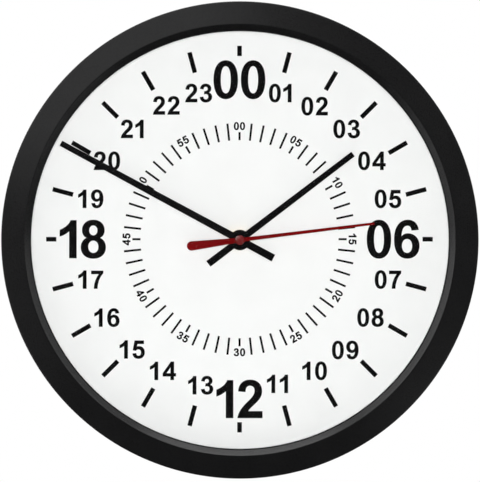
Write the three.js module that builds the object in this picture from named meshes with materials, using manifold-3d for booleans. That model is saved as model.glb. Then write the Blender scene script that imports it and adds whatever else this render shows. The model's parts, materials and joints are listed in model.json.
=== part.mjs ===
// Twenty-four-hour wall clock with a quartz movement, in millimetres.
// Pieces are laid out in the dial frame: x to the right, y up and z from the wall towards the viewer,
// with the axis of the hands at x = y = 0 and the wall at z = 0. The group at the end stands that frame
// upright, +Z up with the dial facing -Y, and puts the seat of the hanging slot at the origin.
import * as THREE from 'three';
import { mergeVertices } from 'three/addons/utils/BufferGeometryUtils.js';
import Module from 'manifold-3d';

const wasm = await Module();
wasm.setup();

// Clearances
const CASE_GAP = 0.3; // between the large mouldings, the lens and the screws
const SEAT_GAP = 0.1; // between small pieces that rest on each other
const RUN_GAP = 0.3; // beside anything that turns or lifts out
const CUT_OVERRUN = 1; // how far a cutter runs past the face that it cuts
const MERGE_DISTANCE = 1e-4; // corners nearer than this are one

// Bezel ring, from the opening outwards
const OPENING_RADIUS = 153.8;
const BEVEL_WIDTH = 4.8;
const BEVEL_RISE = 5;
const RIDGE_ROUND = 0.6;
const BAND_WIDTH = 19.2;
const BAND_FALL = 5.3;
const EDGE_WIDTH = 3;
const EDGE_FALL = 1.8;
const EDGE_SHOULDER = 0.5;
const SIDE_DRAFT = 1.9;
const CASE_WALL = 2.8;
const BEZEL_WALL_GAP = 0.6; // the bezel stays clear of the wall
const LIP_THICKNESS = 1.4;
const LIP_OVERLAP = 4.2;
const SKIRT_WALL = 2.2;
const SKIRT_DEPTH = 13;

// Lens, dial and back pan
const LENS_THICKNESS = 2.5;
const LENS_CLEARANCE = 1.5; // air between the second hand's cap and the lens
const DIAL_THICKNESS = 0.8;
const FLOOR_THICKNESS = 2.5;
const SPACER_WALL = 2;
const DISH_WALL = 2.4;
const DISH_STEP = 5; // from the spacer wall in to the dish wall
const DISH_DRAFT = 4;
const FLANGE_THICKNESS = 2.6;
const WELL_WALL = 2;
const WELL_DEPTH = 12;
const WELL_CORNER = 3.4;
const RIB_COUNT = 8;
const RIB_THICKNESS = 1.8;
const RIB_DEPTH = 8;

// Keyhole hanger moulded into the pan
const HANG_MARGIN = 8.6; // from the inside of the dish wall down to the seat of the slot
const KEYHOLE_DROP = 11; // from the seat of the slot down to the entry hole
const KEYHOLE_ENTRY_RADIUS = 5;
const KEYHOLE_SLOT_WIDTH = 5;
const HANGER_PLATE = 2.6;
const HANGER_WALL = 2.4;
const HANGER_HEADROOM = 4.5; // room for the screw head round the keyhole

// Case screws
const SCREW_COUNT = 6;
const SCREW_HEAD_RADIUS = 3.2;
const SCREW_HEAD_HEIGHT = 2.1;
const SCREW_SHANK_RADIUS = 1.4;
const SCREW_LENGTH = 13;
const SCREW_SINK = 1.2; // head below the wall face
const SCREW_POINT = 2;
const CUP_FLOOR = 2.2;
const CUP_WALL = 1.8;
const BOSS_RADIUS = 4;
const GUSSET_THICKNESS = 2;

// Hands
const HOUR_ANGLE = 52.8; // degrees clockwise from the top
const HOUR_TIP = 105;
const HOUR_TAIL = 29.2;
const HOUR_TIP_WIDTH = 3.8;
const HOUR_TAIL_WIDTH = 4.8;
const HOUR_HUB_RADIUS = 7.2;
const MINUTE_ANGLE = 298.4;
const MINUTE_TIP = 150.2;
const MINUTE_TAIL = 28.1;
const MINUTE_TIP_WIDTH = 3.9;
const MINUTE_TAIL_WIDTH = 5.1;
const MINUTE_HUB_RADIUS = 7.6;
const SECOND_ANGLE = 83;
const SECOND_TIP = 100;
const SECOND_TIP_WIDTH = 1.2;
const SECOND_ROOT_WIDTH = 2.3;
const SECOND_TAIL = 39.4;
const SECOND_TAIL_NECK = 3.4;
const SECOND_TAIL_WIDTH = 6.7;
const SECOND_HUB_RADIUS = 3.2;
const HAND_THICKNESS = 0.5;
const COLLET_HEIGHT = 1.2;
const COLLET_SHOULDER = 1;
const COLLET_NECK = 0.5;
const TUBE_SHOWING = 0.3; // tube end in front of its hand
const CAP_RADIUS = 3.6;
const CAP_HEIGHT = 1.2;
const CAP_SLEEVE_WALL = 0.6;

// Coaxial tubes and the centre fixing
const SECOND_ARBOR_RADIUS = 0.5;
const TUBE_GAP = 0.25; // between one tube and the next
const CANNON_WALL = 0.85;
const CANNON_SLEEVE_WALL = 0.5;
const CANNON_SLEEVE_LIP = 0.2;
const HOUR_TUBE_WALL = 0.65;
const BUSH_WALL = 1.25;
const BUSH_FLANGE_WIDTH = 1.5;
const BUSH_FLANGE_THICKNESS = 0.7;
const BUSH_SHOWING = 0.8; // thread in front of the nut
const GASKET_RADIUS = 12;
const GASKET_THICKNESS = 1;
const WASHER_RADIUS = 6.8;
const WASHER_THICKNESS = 0.5;
const NUT_FLATS = 12;
const NUT_CORNERS = 6;
const NUT_THICKNESS = 2.4;

// Movement housing
const TUB_WALL = 1.3;
const TUB_FRONT = 1.4;
const TUB_CORNER = 3;
const ROOM_CORNER = 1;
const PARTITION = 1.3;
const COVER_THICKNESS = 1.5;
const WINDOW_MARGIN = 0.2; // cover laps the edge of the battery bay by this much
const TRAIN_BELOW = 10; // from the axis down to the partition
const TRAIN_ABOVE = 26.7; // from the axis up to the top wall
const BATTERY_RADIUS = 7.1;
const BATTERY_LENGTH = 50.2;
const BATTERY_NUB_RADIUS = 2.7;
const BATTERY_NUB_LENGTH = 1;
const BATTERY_EDGE = 0.6;
const BATTERY_SINK = 0.5; // battery below the cover's outer face
const BAY_SIDE_ROOM = 0.6;

// Battery contacts
const CONTACT_THICKNESS = 0.3;
const CONTACT_WIDTH = 7;
const CONTACT_GAP = 0.15;
const CONTACT_BOW = 2.15; // how far the spring leaf stands off the end wall
const CONTACT_HALF_SPAN = 5.5;
const CONTACT_BEND = 0.6; // slanted corner from the end wall to the partition
const CONTACT_RUN_POSITIVE = 38; // along the partition from the end wall
const CONTACT_RUN_NEGATIVE = 6;

// Wheel train: tooth counts and centre distances
const WHEEL_THICKNESS = 1;
const PINION_OVERHANG = 0.3; // pinion beyond its wheel on either side
const HOUR_WHEEL_THICKNESS = 1.2;
const ROTOR_PINION_TEETH = 6;
const INTERMEDIATE_WHEEL_TEETH = 30;
const INTERMEDIATE_PINION_TEETH = 6;
const SECOND_WHEEL_TEETH = 36;
const SECOND_PINION_TEETH = 6;
const THIRD_WHEEL_TEETH = 45;
const THIRD_PINION_TEETH = 6;
const MINUTE_WHEEL_TEETH = 48;
const CANNON_PINION_TEETH = 8;
const MOTION_WHEEL_TEETH = 32;
const MOTION_PINION_TEETH = 6;
const HOUR_WHEEL_TEETH = 36;
const SETTING_PINION_TEETH = 8;
const ROTOR_DISTANCE = 6.6; // rotor to intermediate wheel
const INTERMEDIATE_DISTANCE = 9.2; // intermediate wheel to the axis
const THIRD_DISTANCE = 9; // third wheel to the axis
const MOTION_DISTANCE = 8.4; // motion wheel to the axis, and to the setting shaft
const ROTOR_BEARING = -10; // degrees, seen from the intermediate wheel
const INTERMEDIATE_BEARING = 30;
const THIRD_BEARING = 150;
const MOTION_BEARING = 90;

// Arbors, posts and plates of the train
const ARBOR_RADIUS = 0.4;
const PIVOT_DEPTH = 1.2;
const BEARING_BOSS_RADIUS = 1.1;
const MOTION_POST_RADIUS = 0.4;
const SETTING_SHAFT_RADIUS = 1.1;
const SETTING_PIVOT_RADIUS = 0.6;
const PILLAR_RADIUS = 1.6;
const PILLAR_PIN_RADIUS = 0.9;
const BOARD_PILLAR_LEFT = 18; // from the axis
const BOARD_PILLAR_ABOVE = 16;
const BOARD_PILLAR_BELOW = 6;
const BRIDGE_PILLAR_RIGHT = 9;
const BRIDGE_PILLAR_ABOVE = 20;
const BRIDGE_PILLAR_BELOW = 6.6;
const BRIDGE_THICKNESS = 1.2;
const BRIDGE_MARGIN = 3;
const BOARD_THICKNESS = 1;
const BOARD_RIGHT_EDGE = -5;
const BOARD_TOP_EDGE = 22;
const BOARD_SIDE_ROOM = 1.5;
const CHIP_RADIUS = 3.2;
const CHIP_HEIGHT = 1.5;
const CHIP_LEVEL = 0; // above the axis
const CRYSTAL_RADIUS = 1;
const CRYSTAL_LENGTH = 6;
const CRYSTAL_LEVEL = 10;

// Stepping motor
const MAGNET_RADIUS = 3;
const MAGNET_LENGTH = 2.8;
const AIR_GAP = 0.5;
const STATOR_THICKNESS = 1.2;
const STATOR_RING = 1.6; // width of the ring round the magnet
const STATOR_LIMB = 3.5;
const STATOR_ARM = 3;
const CORE_THICKNESS = 1.1;
const CORE_WIDTH = 3;
const COIL_OFFSET = 8; // coil axis beside the rotor
const COIL_RADIUS = 2.9;
const COIL_LENGTH = 14;
const BOBBIN_TUBE_WALL = 0.6;
const BOBBIN_FLANGE_RADIUS = 3.3;
const BOBBIN_FLANGE = 0.8;

// Setting knob
const KNOB_RADIUS = 6.8;
const KNOB_THICKNESS = 2.4;
const KNOB_RIM = 1.6; // thickness of the ribbed disc
const KNOB_WALL_GAP = 0.9;
const KNOB_RIBS = 20;
const KNOB_RIB_HEIGHT = 0.4;
const KNOB_COLLAR_RADIUS = 2.4;

// Tooth forms as [height above the pitch circle, half width], in modules
const WHEEL_TOOTH = [[-1.15, 1.1], [0.95, 0.38]];
const PINION_LEAF = [[-1.25, 0.5], [0.7, 0.36]];

// Roundness of the facets
const LARGE_SIDES = 48;
const DISC_SIDES = 28;
const TUBE_SIDES = 16;
const SCREW_SIDES = 10;
const PIN_SIDES = 8;
const CORNER_STEPS = 2;
const CURVE_STEPS = 3;

// Heights from the wall, back to front
const coverBack = KNOB_WALL_GAP + KNOB_THICKNESS + RUN_GAP;
const coverFront = coverBack + COVER_THICKNESS;
const tubBack = coverFront + SEAT_GAP;
const pinionHeight = WHEEL_THICKNESS + 2 * PINION_OVERHANG;
const motionDepth = RUN_GAP + HOUR_WHEEL_THICKNESS + RUN_GAP + pinionHeight;
const minuteDepth = RUN_GAP + WHEEL_THICKNESS + CANNON_SLEEVE_LIP;
const secondDepth = RUN_GAP + pinionHeight + WHEEL_THICKNESS + PINION_OVERHANG;
const bridgeDepth = motionDepth + minuteDepth + secondDepth + RUN_GAP + BRIDGE_THICKNESS;
const boardDepth = bridgeDepth + SEAT_GAP + BOARD_THICKNESS + SEAT_GAP;
const trainDepth = boardDepth + Math.max(CHIP_HEIGHT, 2 * CRYSTAL_RADIUS) + RUN_GAP;
const bayDepth = BATTERY_SINK + 2 * BATTERY_RADIUS + RUN_GAP - COVER_THICKNESS;
const trainFront = coverFront + Math.max(trainDepth, bayDepth);
const movementFront = trainFront + TUB_FRONT;
const gasketBack = movementFront + SEAT_GAP;
const floorBack = gasketBack + GASKET_THICKNESS + SEAT_GAP;
const floorFront = floorBack + FLOOR_THICKNESS;
const dialBack = floorFront + SEAT_GAP;
const dialFront = dialBack + DIAL_THICKNESS;
const washerBack = dialFront + SEAT_GAP;
const nutBack = washerBack + WASHER_THICKNESS + SEAT_GAP;
const nutFront = nutBack + NUT_THICKNESS;
const bushFront = nutFront + BUSH_SHOWING;
const hourColletBack = bushFront + RUN_GAP;
const hourHandBack = hourColletBack + COLLET_HEIGHT;
const hourTubeFront = hourHandBack + HAND_THICKNESS + TUBE_SHOWING;
const minuteColletBack = hourTubeFront + RUN_GAP;
const minuteHandBack = minuteColletBack + COLLET_HEIGHT;
const cannonTubeFront = minuteHandBack + HAND_THICKNESS + TUBE_SHOWING;
const capBack = cannonTubeFront + RUN_GAP;
const secondHandBack = capBack + COLLET_HEIGHT;
const secondHandFront = secondHandBack + HAND_THICKNESS;
const capFront = secondHandFront + SEAT_GAP + CAP_HEIGHT;
const lensBack = capFront + LENS_CLEARANCE;
const lensFront = lensBack + LENS_THICKNESS;
const lipBack = lensFront + CASE_GAP;
const lipFront = lipBack + LIP_THICKNESS;
const ridgeHeight = lipFront + BEVEL_RISE;

// Heights of the train, front to back
const hourWheelFront = trainFront - RUN_GAP;
const hourWheelBack = hourWheelFront - HOUR_WHEEL_THICKNESS;
const cannonFront = hourWheelBack - RUN_GAP;
const cannonBack = cannonFront - pinionHeight;
const motionWheelBack = cannonBack + PINION_OVERHANG;
const minuteWheelFront = cannonBack - RUN_GAP;
const minuteWheelBack = minuteWheelFront - WHEEL_THICKNESS;
const cannonSleeveBack = minuteWheelBack - CANNON_SLEEVE_LIP;
const secondPinionFront = cannonSleeveBack - RUN_GAP;
const thirdWheelBack = secondPinionFront - PINION_OVERHANG - WHEEL_THICKNESS;
const secondWheelFront = secondPinionFront - pinionHeight;
const secondWheelBack = secondWheelFront - WHEEL_THICKNESS;
const bridgeFront = secondWheelBack - PINION_OVERHANG - RUN_GAP;
const bridgeBack = bridgeFront - BRIDGE_THICKNESS;
const boardFront = bridgeBack - SEAT_GAP;
const boardBack = boardFront - BOARD_THICKNESS;
const bearingFace = minuteWheelFront + PINION_OVERHANG + RUN_GAP;
const magnetBack = secondPinionFront + RUN_GAP;
const magnetFront = magnetBack + MAGNET_LENGTH;
const statorFront = (magnetBack + magnetFront + STATOR_THICKNESS) / 2;
const statorBack = statorFront - STATOR_THICKNESS;
const coreMiddle = statorBack - SEAT_GAP - CORE_THICKNESS / 2;

// Radii of the coaxial tubes, from the second arbor outwards
const cannonBore = SECOND_ARBOR_RADIUS + TUBE_GAP;
const cannonSleeveRadius = cannonBore + CANNON_SLEEVE_WALL;
const cannonRadius = cannonBore + CANNON_WALL;
const hourBore = cannonRadius + TUBE_GAP;
const hourTubeRadius = hourBore + HOUR_TUBE_WALL;
const bushBore = hourTubeRadius + TUBE_GAP;
const bushRadius = bushBore + BUSH_WALL;

// Radii of the case
const ridgeRadius = OPENING_RADIUS + BEVEL_WIDTH;
const caseRadius = ridgeRadius + BAND_WIDTH;
const lensRadius = OPENING_RADIUS + LIP_OVERLAP;
const skirtInner = lensRadius + CASE_GAP;
const skirtOuter = skirtInner + SKIRT_WALL;
const sideInner = caseRadius - CASE_WALL;
const flangeRadius = sideInner - SIDE_DRAFT;
const spacerInner = lensRadius - SPACER_WALL;
const dishFront = lensRadius - DISH_STEP - DISH_WALL; // inside of the dish wall at the pan floor
const dishBack = dishFront - DISH_DRAFT; // and at the wall face
const screwCircle = (skirtOuter + flangeRadius) / 2;
const hangRadius = dishBack - HANG_MARGIN;

// Centres of the wheels and of the coil
const axis = new THREE.Vector2(0, 0);
const intermediateCentre = step(axis, INTERMEDIATE_BEARING, INTERMEDIATE_DISTANCE);
const rotorCentre = step(intermediateCentre, ROTOR_BEARING, ROTOR_DISTANCE);
const thirdCentre = step(axis, THIRD_BEARING, THIRD_DISTANCE);
const motionCentre = step(axis, MOTION_BEARING, MOTION_DISTANCE);
const settingCentre = step(motionCentre, MOTION_BEARING, MOTION_DISTANCE);
const coilCentre = new THREE.Vector2(rotorCentre.x + COIL_OFFSET, rotorCentre.y);

// Outline of the movement: the bay holds the battery, the room above it the train and the coil
const batteryMiddle = -(TRAIN_BELOW + PARTITION + BAY_SIDE_ROOM + BATTERY_RADIUS);
const bayTop = -(TRAIN_BELOW + PARTITION);
const bayBottom = batteryMiddle - BATTERY_RADIUS - BAY_SIDE_ROOM;
const bayHalfWidth = (BATTERY_LENGTH + CONTACT_BOW) / 2 + CONTACT_THICKNESS + 2 * CONTACT_GAP;
const roomHalfWidth = Math.max(bayHalfWidth, coilCentre.x + BOBBIN_FLANGE_RADIUS + RUN_GAP);
const tubHalfWidth = roomHalfWidth + TUB_WALL;
const tubBottom = bayBottom - TUB_WALL;
const tubTop = TRAIN_ABOVE + TUB_WALL;

// Pillars that carry the bridge; the two on the left carry the circuit board too
const boardPillars = [
  new THREE.Vector2(-BOARD_PILLAR_LEFT, BOARD_PILLAR_ABOVE),
  new THREE.Vector2(-BOARD_PILLAR_LEFT, -BOARD_PILLAR_BELOW),
];
const bridgePillars = [
  new THREE.Vector2(BRIDGE_PILLAR_RIGHT, BRIDGE_PILLAR_ABOVE),
  new THREE.Vector2(BRIDGE_PILLAR_RIGHT, -BRIDGE_PILLAR_BELOW),
];

// Point at a bearing in degrees, anticlockwise from +x, and a distance
function step(start, bearing, distance) {
  const angle = THREE.MathUtils.degToRad(bearing);
  return new THREE.Vector2(start.x + distance * Math.cos(angle), start.y + distance * Math.sin(angle));
}

// Closed geometry as a solid that can be joined and cut
function toSolid(geometry) {
  const bare = new THREE.BufferGeometry();
  bare.setAttribute('position', geometry.getAttribute('position'));
  bare.setIndex(geometry.getIndex());
  const merged = mergeVertices(bare, MERGE_DISTANCE);
  const corners = merged.getIndex().array;
  const kept = [];
  for (let i = 0; i < corners.length; i += 3) {
    const [a, b, c] = [corners[i], corners[i + 1], corners[i + 2]];
    if (a !== b && b !== c && c !== a) kept.push(a, b, c);
  }
  const vertProperties = new Float32Array(merged.getAttribute('position').array);
  return new wasm.Manifold(new wasm.Mesh({ numProp: 3, vertProperties, triVerts: new Uint32Array(kept) }));
}

function toGeometry(solid) {
  const { vertProperties, triVerts } = solid.getMesh();
  const geometry = new THREE.BufferGeometry();
  geometry.setAttribute('position', new THREE.BufferAttribute(new Float32Array(vertProperties), 3));
  geometry.setIndex(new THREE.BufferAttribute(new Uint32Array(triVerts), 1));
  geometry.computeVertexNormals();
  return geometry;
}

function join(first, ...others) {
  return toGeometry(others.reduce((whole, piece) => whole.add(toSolid(piece)), toSolid(first)));
}

function cut(first, ...cutters) {
  return toGeometry(cutters.reduce((rest, cutter) => rest.subtract(toSolid(cutter)), toSolid(first)));
}

// Solid of revolution about z from [radius, height] corners, listed anticlockwise with z up.
// A profile that starts and ends on the axis stays open there.
function revolve(profile, sides) {
  const corners = profile.map(([radius, height]) => new THREE.Vector2(radius, height));
  const onAxis = corners[0].x === 0 && corners.at(-1).x === 0;
  if (!onAxis) corners.push(corners[0]);
  return new THREE.LatheGeometry(corners, sides).rotateX(Math.PI / 2);
}

function ring(inner, outer, back, front, sides) {
  return revolve([[inner, back], [outer, back], [outer, front], [inner, front]], sides);
}

function rod(radius, back, front, sides) {
  const height = front - back;
  return new THREE.CylinderGeometry(radius, radius, height, sides).rotateX(Math.PI / 2)
    .translate(0, 0, back + height / 2);
}

function rodAt(centre, radius, back, front, sides) {
  return rod(radius, back, front, sides).translate(centre.x, centre.y, 0);
}

// Cutter for a round hole that runs past both faces
function bore(radius, back, front, sides, centre = axis) {
  return rodAt(centre, radius, back - CUT_OVERRUN, front + CUT_OVERRUN, sides);
}

// Plate of an outline between two heights
function plate(outline, back, front, arcSteps = CORNER_STEPS) {
  return new THREE.ExtrudeGeometry(outline, {
    depth: front - back,
    bevelEnabled: false,
    curveSegments: arcSteps,
  }).translate(0, 0, back);
}

function roundedBox(left, bottom, right, top, corner) {
  const outline = new THREE.Shape();
  outline.moveTo(left + corner, bottom);
  outline.absarc(right - corner, bottom + corner, corner, -Math.PI / 2, 0);
  outline.absarc(right - corner, top - corner, corner, 0, Math.PI / 2);
  outline.absarc(left + corner, top - corner, corner, Math.PI / 2, Math.PI);
  outline.absarc(left + corner, bottom + corner, corner, Math.PI, 1.5 * Math.PI);
  return outline;
}

function block(left, bottom, back, right, top, front) {
  return new THREE.BoxGeometry(right - left, top - bottom, front - back)
    .translate((left + right) / 2, (bottom + top) / 2, (back + front) / 2);
}

// Line of points moved sideways, to the left of its direction of travel
function offsetPath(points, distance) {
  return points.map((point, i) => {
    const before = points[Math.max(i - 1, 0)];
    const after = points[Math.min(i + 1, points.length - 1)];
    const along = after.clone().sub(before).normalize();
    return new THREE.Vector2(point.x - along.y * distance, point.y + along.x * distance);
  });
}

// Outline of a gear about the origin, with a tooth centred on +x
function gearOutline(teeth, module, tooth) {
  const pitchRadius = teeth * module / 2;
  const flank = tooth.map(([height, half]) => [pitchRadius + height * module, half * module / pitchRadius]);
  const corners = [];
  for (let i = 0; i < teeth; i += 1) {
    const middle = 2 * Math.PI * i / teeth;
    const rising = flank.map(([radius, half]) => [radius, middle - half]);
    const falling = flank.toReversed().map(([radius, half]) => [radius, middle + half]);
    for (const [radius, angle] of [...rising, ...falling]) {
      corners.push(new THREE.Vector2(radius * Math.cos(angle), radius * Math.sin(angle)));
    }
  }
  return new THREE.Shape(corners);
}

function wheel(teeth, module, back, front) {
  return plate(gearOutline(teeth, module, WHEEL_TOOTH), back, front);
}

function pinion(teeth, module, back, front) {
  return plate(gearOutline(teeth, module, PINION_LEAF), back, front);
}

// Module that makes two gears fit a centre distance
function fitModule(distance, teeth, otherTeeth) {
  return 2 * distance / (teeth + otherTeeth);
}

// Turn of a gear whose gaps take the teeth of its neighbour, which has a known turn. The bearing is the
// direction from the neighbour's centre to this gear's, in degrees.
function meshedTurn(neighbourTurn, neighbourTeeth, teeth, bearing) {
  const direction = THREE.MathUtils.degToRad(bearing);
  const passed = (direction - neighbourTurn) * neighbourTeeth / (2 * Math.PI);
  return direction + Math.PI - (0.5 - passed) * 2 * Math.PI / teeth;
}

const rotorModule = fitModule(ROTOR_DISTANCE, ROTOR_PINION_TEETH, INTERMEDIATE_WHEEL_TEETH);
const secondModule = fitModule(INTERMEDIATE_DISTANCE, INTERMEDIATE_PINION_TEETH, SECOND_WHEEL_TEETH);
const thirdModule = fitModule(THIRD_DISTANCE, SECOND_PINION_TEETH, THIRD_WHEEL_TEETH);
const minuteModule = fitModule(THIRD_DISTANCE, THIRD_PINION_TEETH, MINUTE_WHEEL_TEETH);
const motionModule = fitModule(MOTION_DISTANCE, CANNON_PINION_TEETH, MOTION_WHEEL_TEETH);
const settingModule = fitModule(MOTION_DISTANCE, SETTING_PINION_TEETH, MOTION_WHEEL_TEETH);
const hourModule = fitModule(MOTION_DISTANCE, MOTION_PINION_TEETH, HOUR_WHEEL_TEETH);

// Bezel ring: one moulded section turned round the axis, with bosses for the case screws
function bezelRing() {
  const side = caseRadius - SIDE_DRAFT;
  const bandEdge = new THREE.Vector2(caseRadius - EDGE_WIDTH, ridgeHeight - BAND_FALL);
  const edge = new THREE.QuadraticBezierCurve(
    new THREE.Vector2(side, bandEdge.y - EDGE_FALL),
    new THREE.Vector2(side, bandEdge.y - EDGE_SHOULDER),
    bandEdge,
  );
  const crownPoints = (steps) => [
    new THREE.Vector2(caseRadius, BEZEL_WALL_GAP),
    ...edge.getPoints(steps),
    new THREE.Vector2(ridgeRadius + RIDGE_ROUND, ridgeHeight),
  ];
  const underside = offsetPath(crownPoints(1), CASE_WALL)
    .filter((point) => point.x > skirtOuter + RIDGE_ROUND);
  underside[0].y = BEZEL_WALL_GAP;
  const bevelSlope = BEVEL_RISE / BEVEL_WIDTH;
  const profile = [
    ...crownPoints(CURVE_STEPS).map((point) => [point.x, point.y]),
    [ridgeRadius, ridgeHeight - RIDGE_ROUND * bevelSlope / 2],
    [OPENING_RADIUS, lipFront],
    [OPENING_RADIUS, lipBack],
    [skirtInner, lipBack],
    [skirtInner, lipBack - SKIRT_DEPTH],
    [skirtOuter, lipBack - SKIRT_DEPTH],
    [skirtOuter, underside.at(-1).y],
    ...underside.toReversed().map((point) => [point.x, point.y]),
  ];
  const bossBack = SCREW_SINK + SCREW_HEAD_HEIGHT + CASE_GAP + CUP_FLOOR + CASE_GAP;
  const bossFront = bandEdge.y - CASE_WALL / 2;
  const bosses = [];
  const holes = [];
  for (let i = 0; i < SCREW_COUNT; i += 1) {
    const angle = 2 * Math.PI * i / SCREW_COUNT;
    const boss = rod(BOSS_RADIUS, bossBack, bossFront, SCREW_SIDES).translate(screwCircle, 0, 0);
    const gussetFront = bandEdge.y - EDGE_FALL;
    const gusset = block(screwCircle, -GUSSET_THICKNESS / 2, bossBack,
      sideInner, GUSSET_THICKNESS / 2, gussetFront);
    const hole = rod(SCREW_SHANK_RADIUS + CASE_GAP, bossBack - CUT_OVERRUN,
      bossBack + SCREW_LENGTH, PIN_SIDES).translate(screwCircle, 0, 0);
    bosses.push(boss.rotateZ(angle), gusset.rotateZ(angle));
    holes.push(hole.rotateZ(angle));
  }
  return cut(join(revolve(profile, LARGE_SIDES), ...bosses), ...holes);
}

function lens() {
  return rod(lensRadius, lensBack, lensFront, LARGE_SIDES);
}

function dial() {
  return cut(
    rod(spacerInner - CASE_GAP, dialBack, dialFront, LARGE_SIDES),
    bore(bushRadius + CASE_GAP, dialBack, dialFront, TUBE_SIDES),
  );
}

// Back pan: floor for the dial, spacer wall for the lens, dish wall and flange on the wall, with the well
// that keeps the movement from turning, ribs, screw cups and the keyhole hanger
function backPan() {
  const spacerFront = lensBack - CASE_GAP;
  const shell = revolve([
    [0, floorBack],
    [dishFront, floorBack],
    [dishBack, 0],
    [flangeRadius, 0],
    [flangeRadius, FLANGE_THICKNESS],
    [dishBack + DISH_WALL + DISH_DRAFT * FLANGE_THICKNESS / floorBack, FLANGE_THICKNESS],
    [dishFront + DISH_WALL, floorBack],
    [lensRadius, floorBack],
    [lensRadius, spacerFront],
    [spacerInner, spacerFront],
    [spacerInner, floorFront],
    [0, floorFront],
  ], LARGE_SIDES);

  const wellInner = {
    left: -tubHalfWidth - CASE_GAP,
    bottom: tubBottom - CASE_GAP,
    right: tubHalfWidth + CASE_GAP,
    top: tubTop + CASE_GAP,
  };
  const wellOutline = roundedBox(wellInner.left - WELL_WALL, wellInner.bottom - WELL_WALL,
    wellInner.right + WELL_WALL, wellInner.top + WELL_WALL, WELL_CORNER + WELL_WALL);
  wellOutline.holes.push(roundedBox(wellInner.left, wellInner.bottom,
    wellInner.right, wellInner.top, WELL_CORNER));
  const well = plate(wellOutline, floorBack - WELL_DEPTH, floorBack + FLOOR_THICKNESS / 2);

  const ribs = [];
  const ribEnd = dishFront + (DISH_WALL - DISH_DRAFT * RIB_DEPTH / floorBack) / 2;
  for (let i = 0; i < RIB_COUNT; i += 1) {
    const angle = 2 * Math.PI * (i + 0.5) / RIB_COUNT;
    const wallReach = Math.max(Math.abs(Math.cos(angle)) / (wellInner.right + WELL_WALL / 2),
      Math.abs(Math.sin(angle)) / (wellInner.top + WELL_WALL / 2));
    const rib = block(1 / wallReach, -RIB_THICKNESS / 2, floorBack - RIB_DEPTH,
      ribEnd, RIB_THICKNESS / 2, floorBack + FLOOR_THICKNESS / 2);
    ribs.push(rib.rotateZ(angle));
  }

  const cupFloorBack = SCREW_SINK + SCREW_HEAD_HEIGHT + CASE_GAP;
  const cupRadius = SCREW_HEAD_RADIUS + CASE_GAP;
  const cups = [];
  const cupHoles = [];
  for (let i = 0; i < SCREW_COUNT; i += 1) {
    const centre = step(axis, 360 * i / SCREW_COUNT, screwCircle);
    cups.push(rodAt(centre, cupRadius + CUP_WALL, 0, cupFloorBack + CUP_FLOOR, SCREW_SIDES));
    cupHoles.push(rodAt(centre, cupRadius, -CUT_OVERRUN, cupFloorBack, SCREW_SIDES));
    cupHoles.push(bore(SCREW_SHANK_RADIUS + CASE_GAP, 0, cupFloorBack + CUP_FLOOR, PIN_SIDES, centre));
  }

  const entryHeight = hangRadius - KEYHOLE_DROP;
  const room = KEYHOLE_ENTRY_RADIUS + HANGER_HEADROOM;
  const towerTop = dishFront + DISH_WALL / 2;
  const tower = block(-room - HANGER_WALL, entryHeight - room - HANGER_WALL, 0,
    room + HANGER_WALL, towerTop, floorBack + FLOOR_THICKNESS / 2);
  const headRoom = block(-room, entryHeight - room, HANGER_PLATE,
    room, hangRadius + HANGER_HEADROOM, floorFront + CUT_OVERRUN);
  const keyhole = new THREE.Shape();
  const slotHalf = KEYHOLE_SLOT_WIDTH / 2;
  const slotMeet = Math.asin(slotHalf / KEYHOLE_ENTRY_RADIUS);
  keyhole.absarc(0, hangRadius, slotHalf, 0, Math.PI);
  keyhole.absarc(0, entryHeight, KEYHOLE_ENTRY_RADIUS, Math.PI / 2 + slotMeet, 2.5 * Math.PI - slotMeet);
  const keyholeCut = plate(keyhole, -CUT_OVERRUN, HANGER_PLATE + CUT_OVERRUN, CURVE_STEPS);

  const bushHole = bore(bushRadius + CASE_GAP, floorBack, floorFront, TUBE_SIDES);
  return cut(join(shell, well, ...ribs, ...cups, tower), ...cupHoles, headRoom, keyholeCut, bushHole);
}

// Pan-headed screw, point towards the viewer
function caseScrew() {
  const headFront = SCREW_SINK + SCREW_HEAD_HEIGHT;
  const tip = headFront + SCREW_LENGTH;
  return revolve([
    [0, SCREW_SINK],
    [SCREW_HEAD_RADIUS, SCREW_SINK],
    [SCREW_HEAD_RADIUS, headFront],
    [SCREW_SHANK_RADIUS, headFront],
    [SCREW_SHANK_RADIUS, tip - SCREW_POINT],
    [0, tip],
  ], SCREW_SIDES);
}

// Blade with square ends that narrows from tail to tip, pointing up, with its hub and centre hole
function batonHand(tip, tail, tipWidth, tailWidth, hubRadius, holeRadius, back) {
  const front = back + HAND_THICKNESS;
  const blade = new THREE.Shape([
    new THREE.Vector2(-tailWidth / 2, -tail),
    new THREE.Vector2(tailWidth / 2, -tail),
    new THREE.Vector2(tipWidth / 2, tip),
    new THREE.Vector2(-tipWidth / 2, tip),
  ]);
  return cut(
    join(plate(blade, back, front), rod(hubRadius, back, front, DISC_SIDES)),
    bore(holeRadius, back, front, TUBE_SIDES),
  );
}

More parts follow.
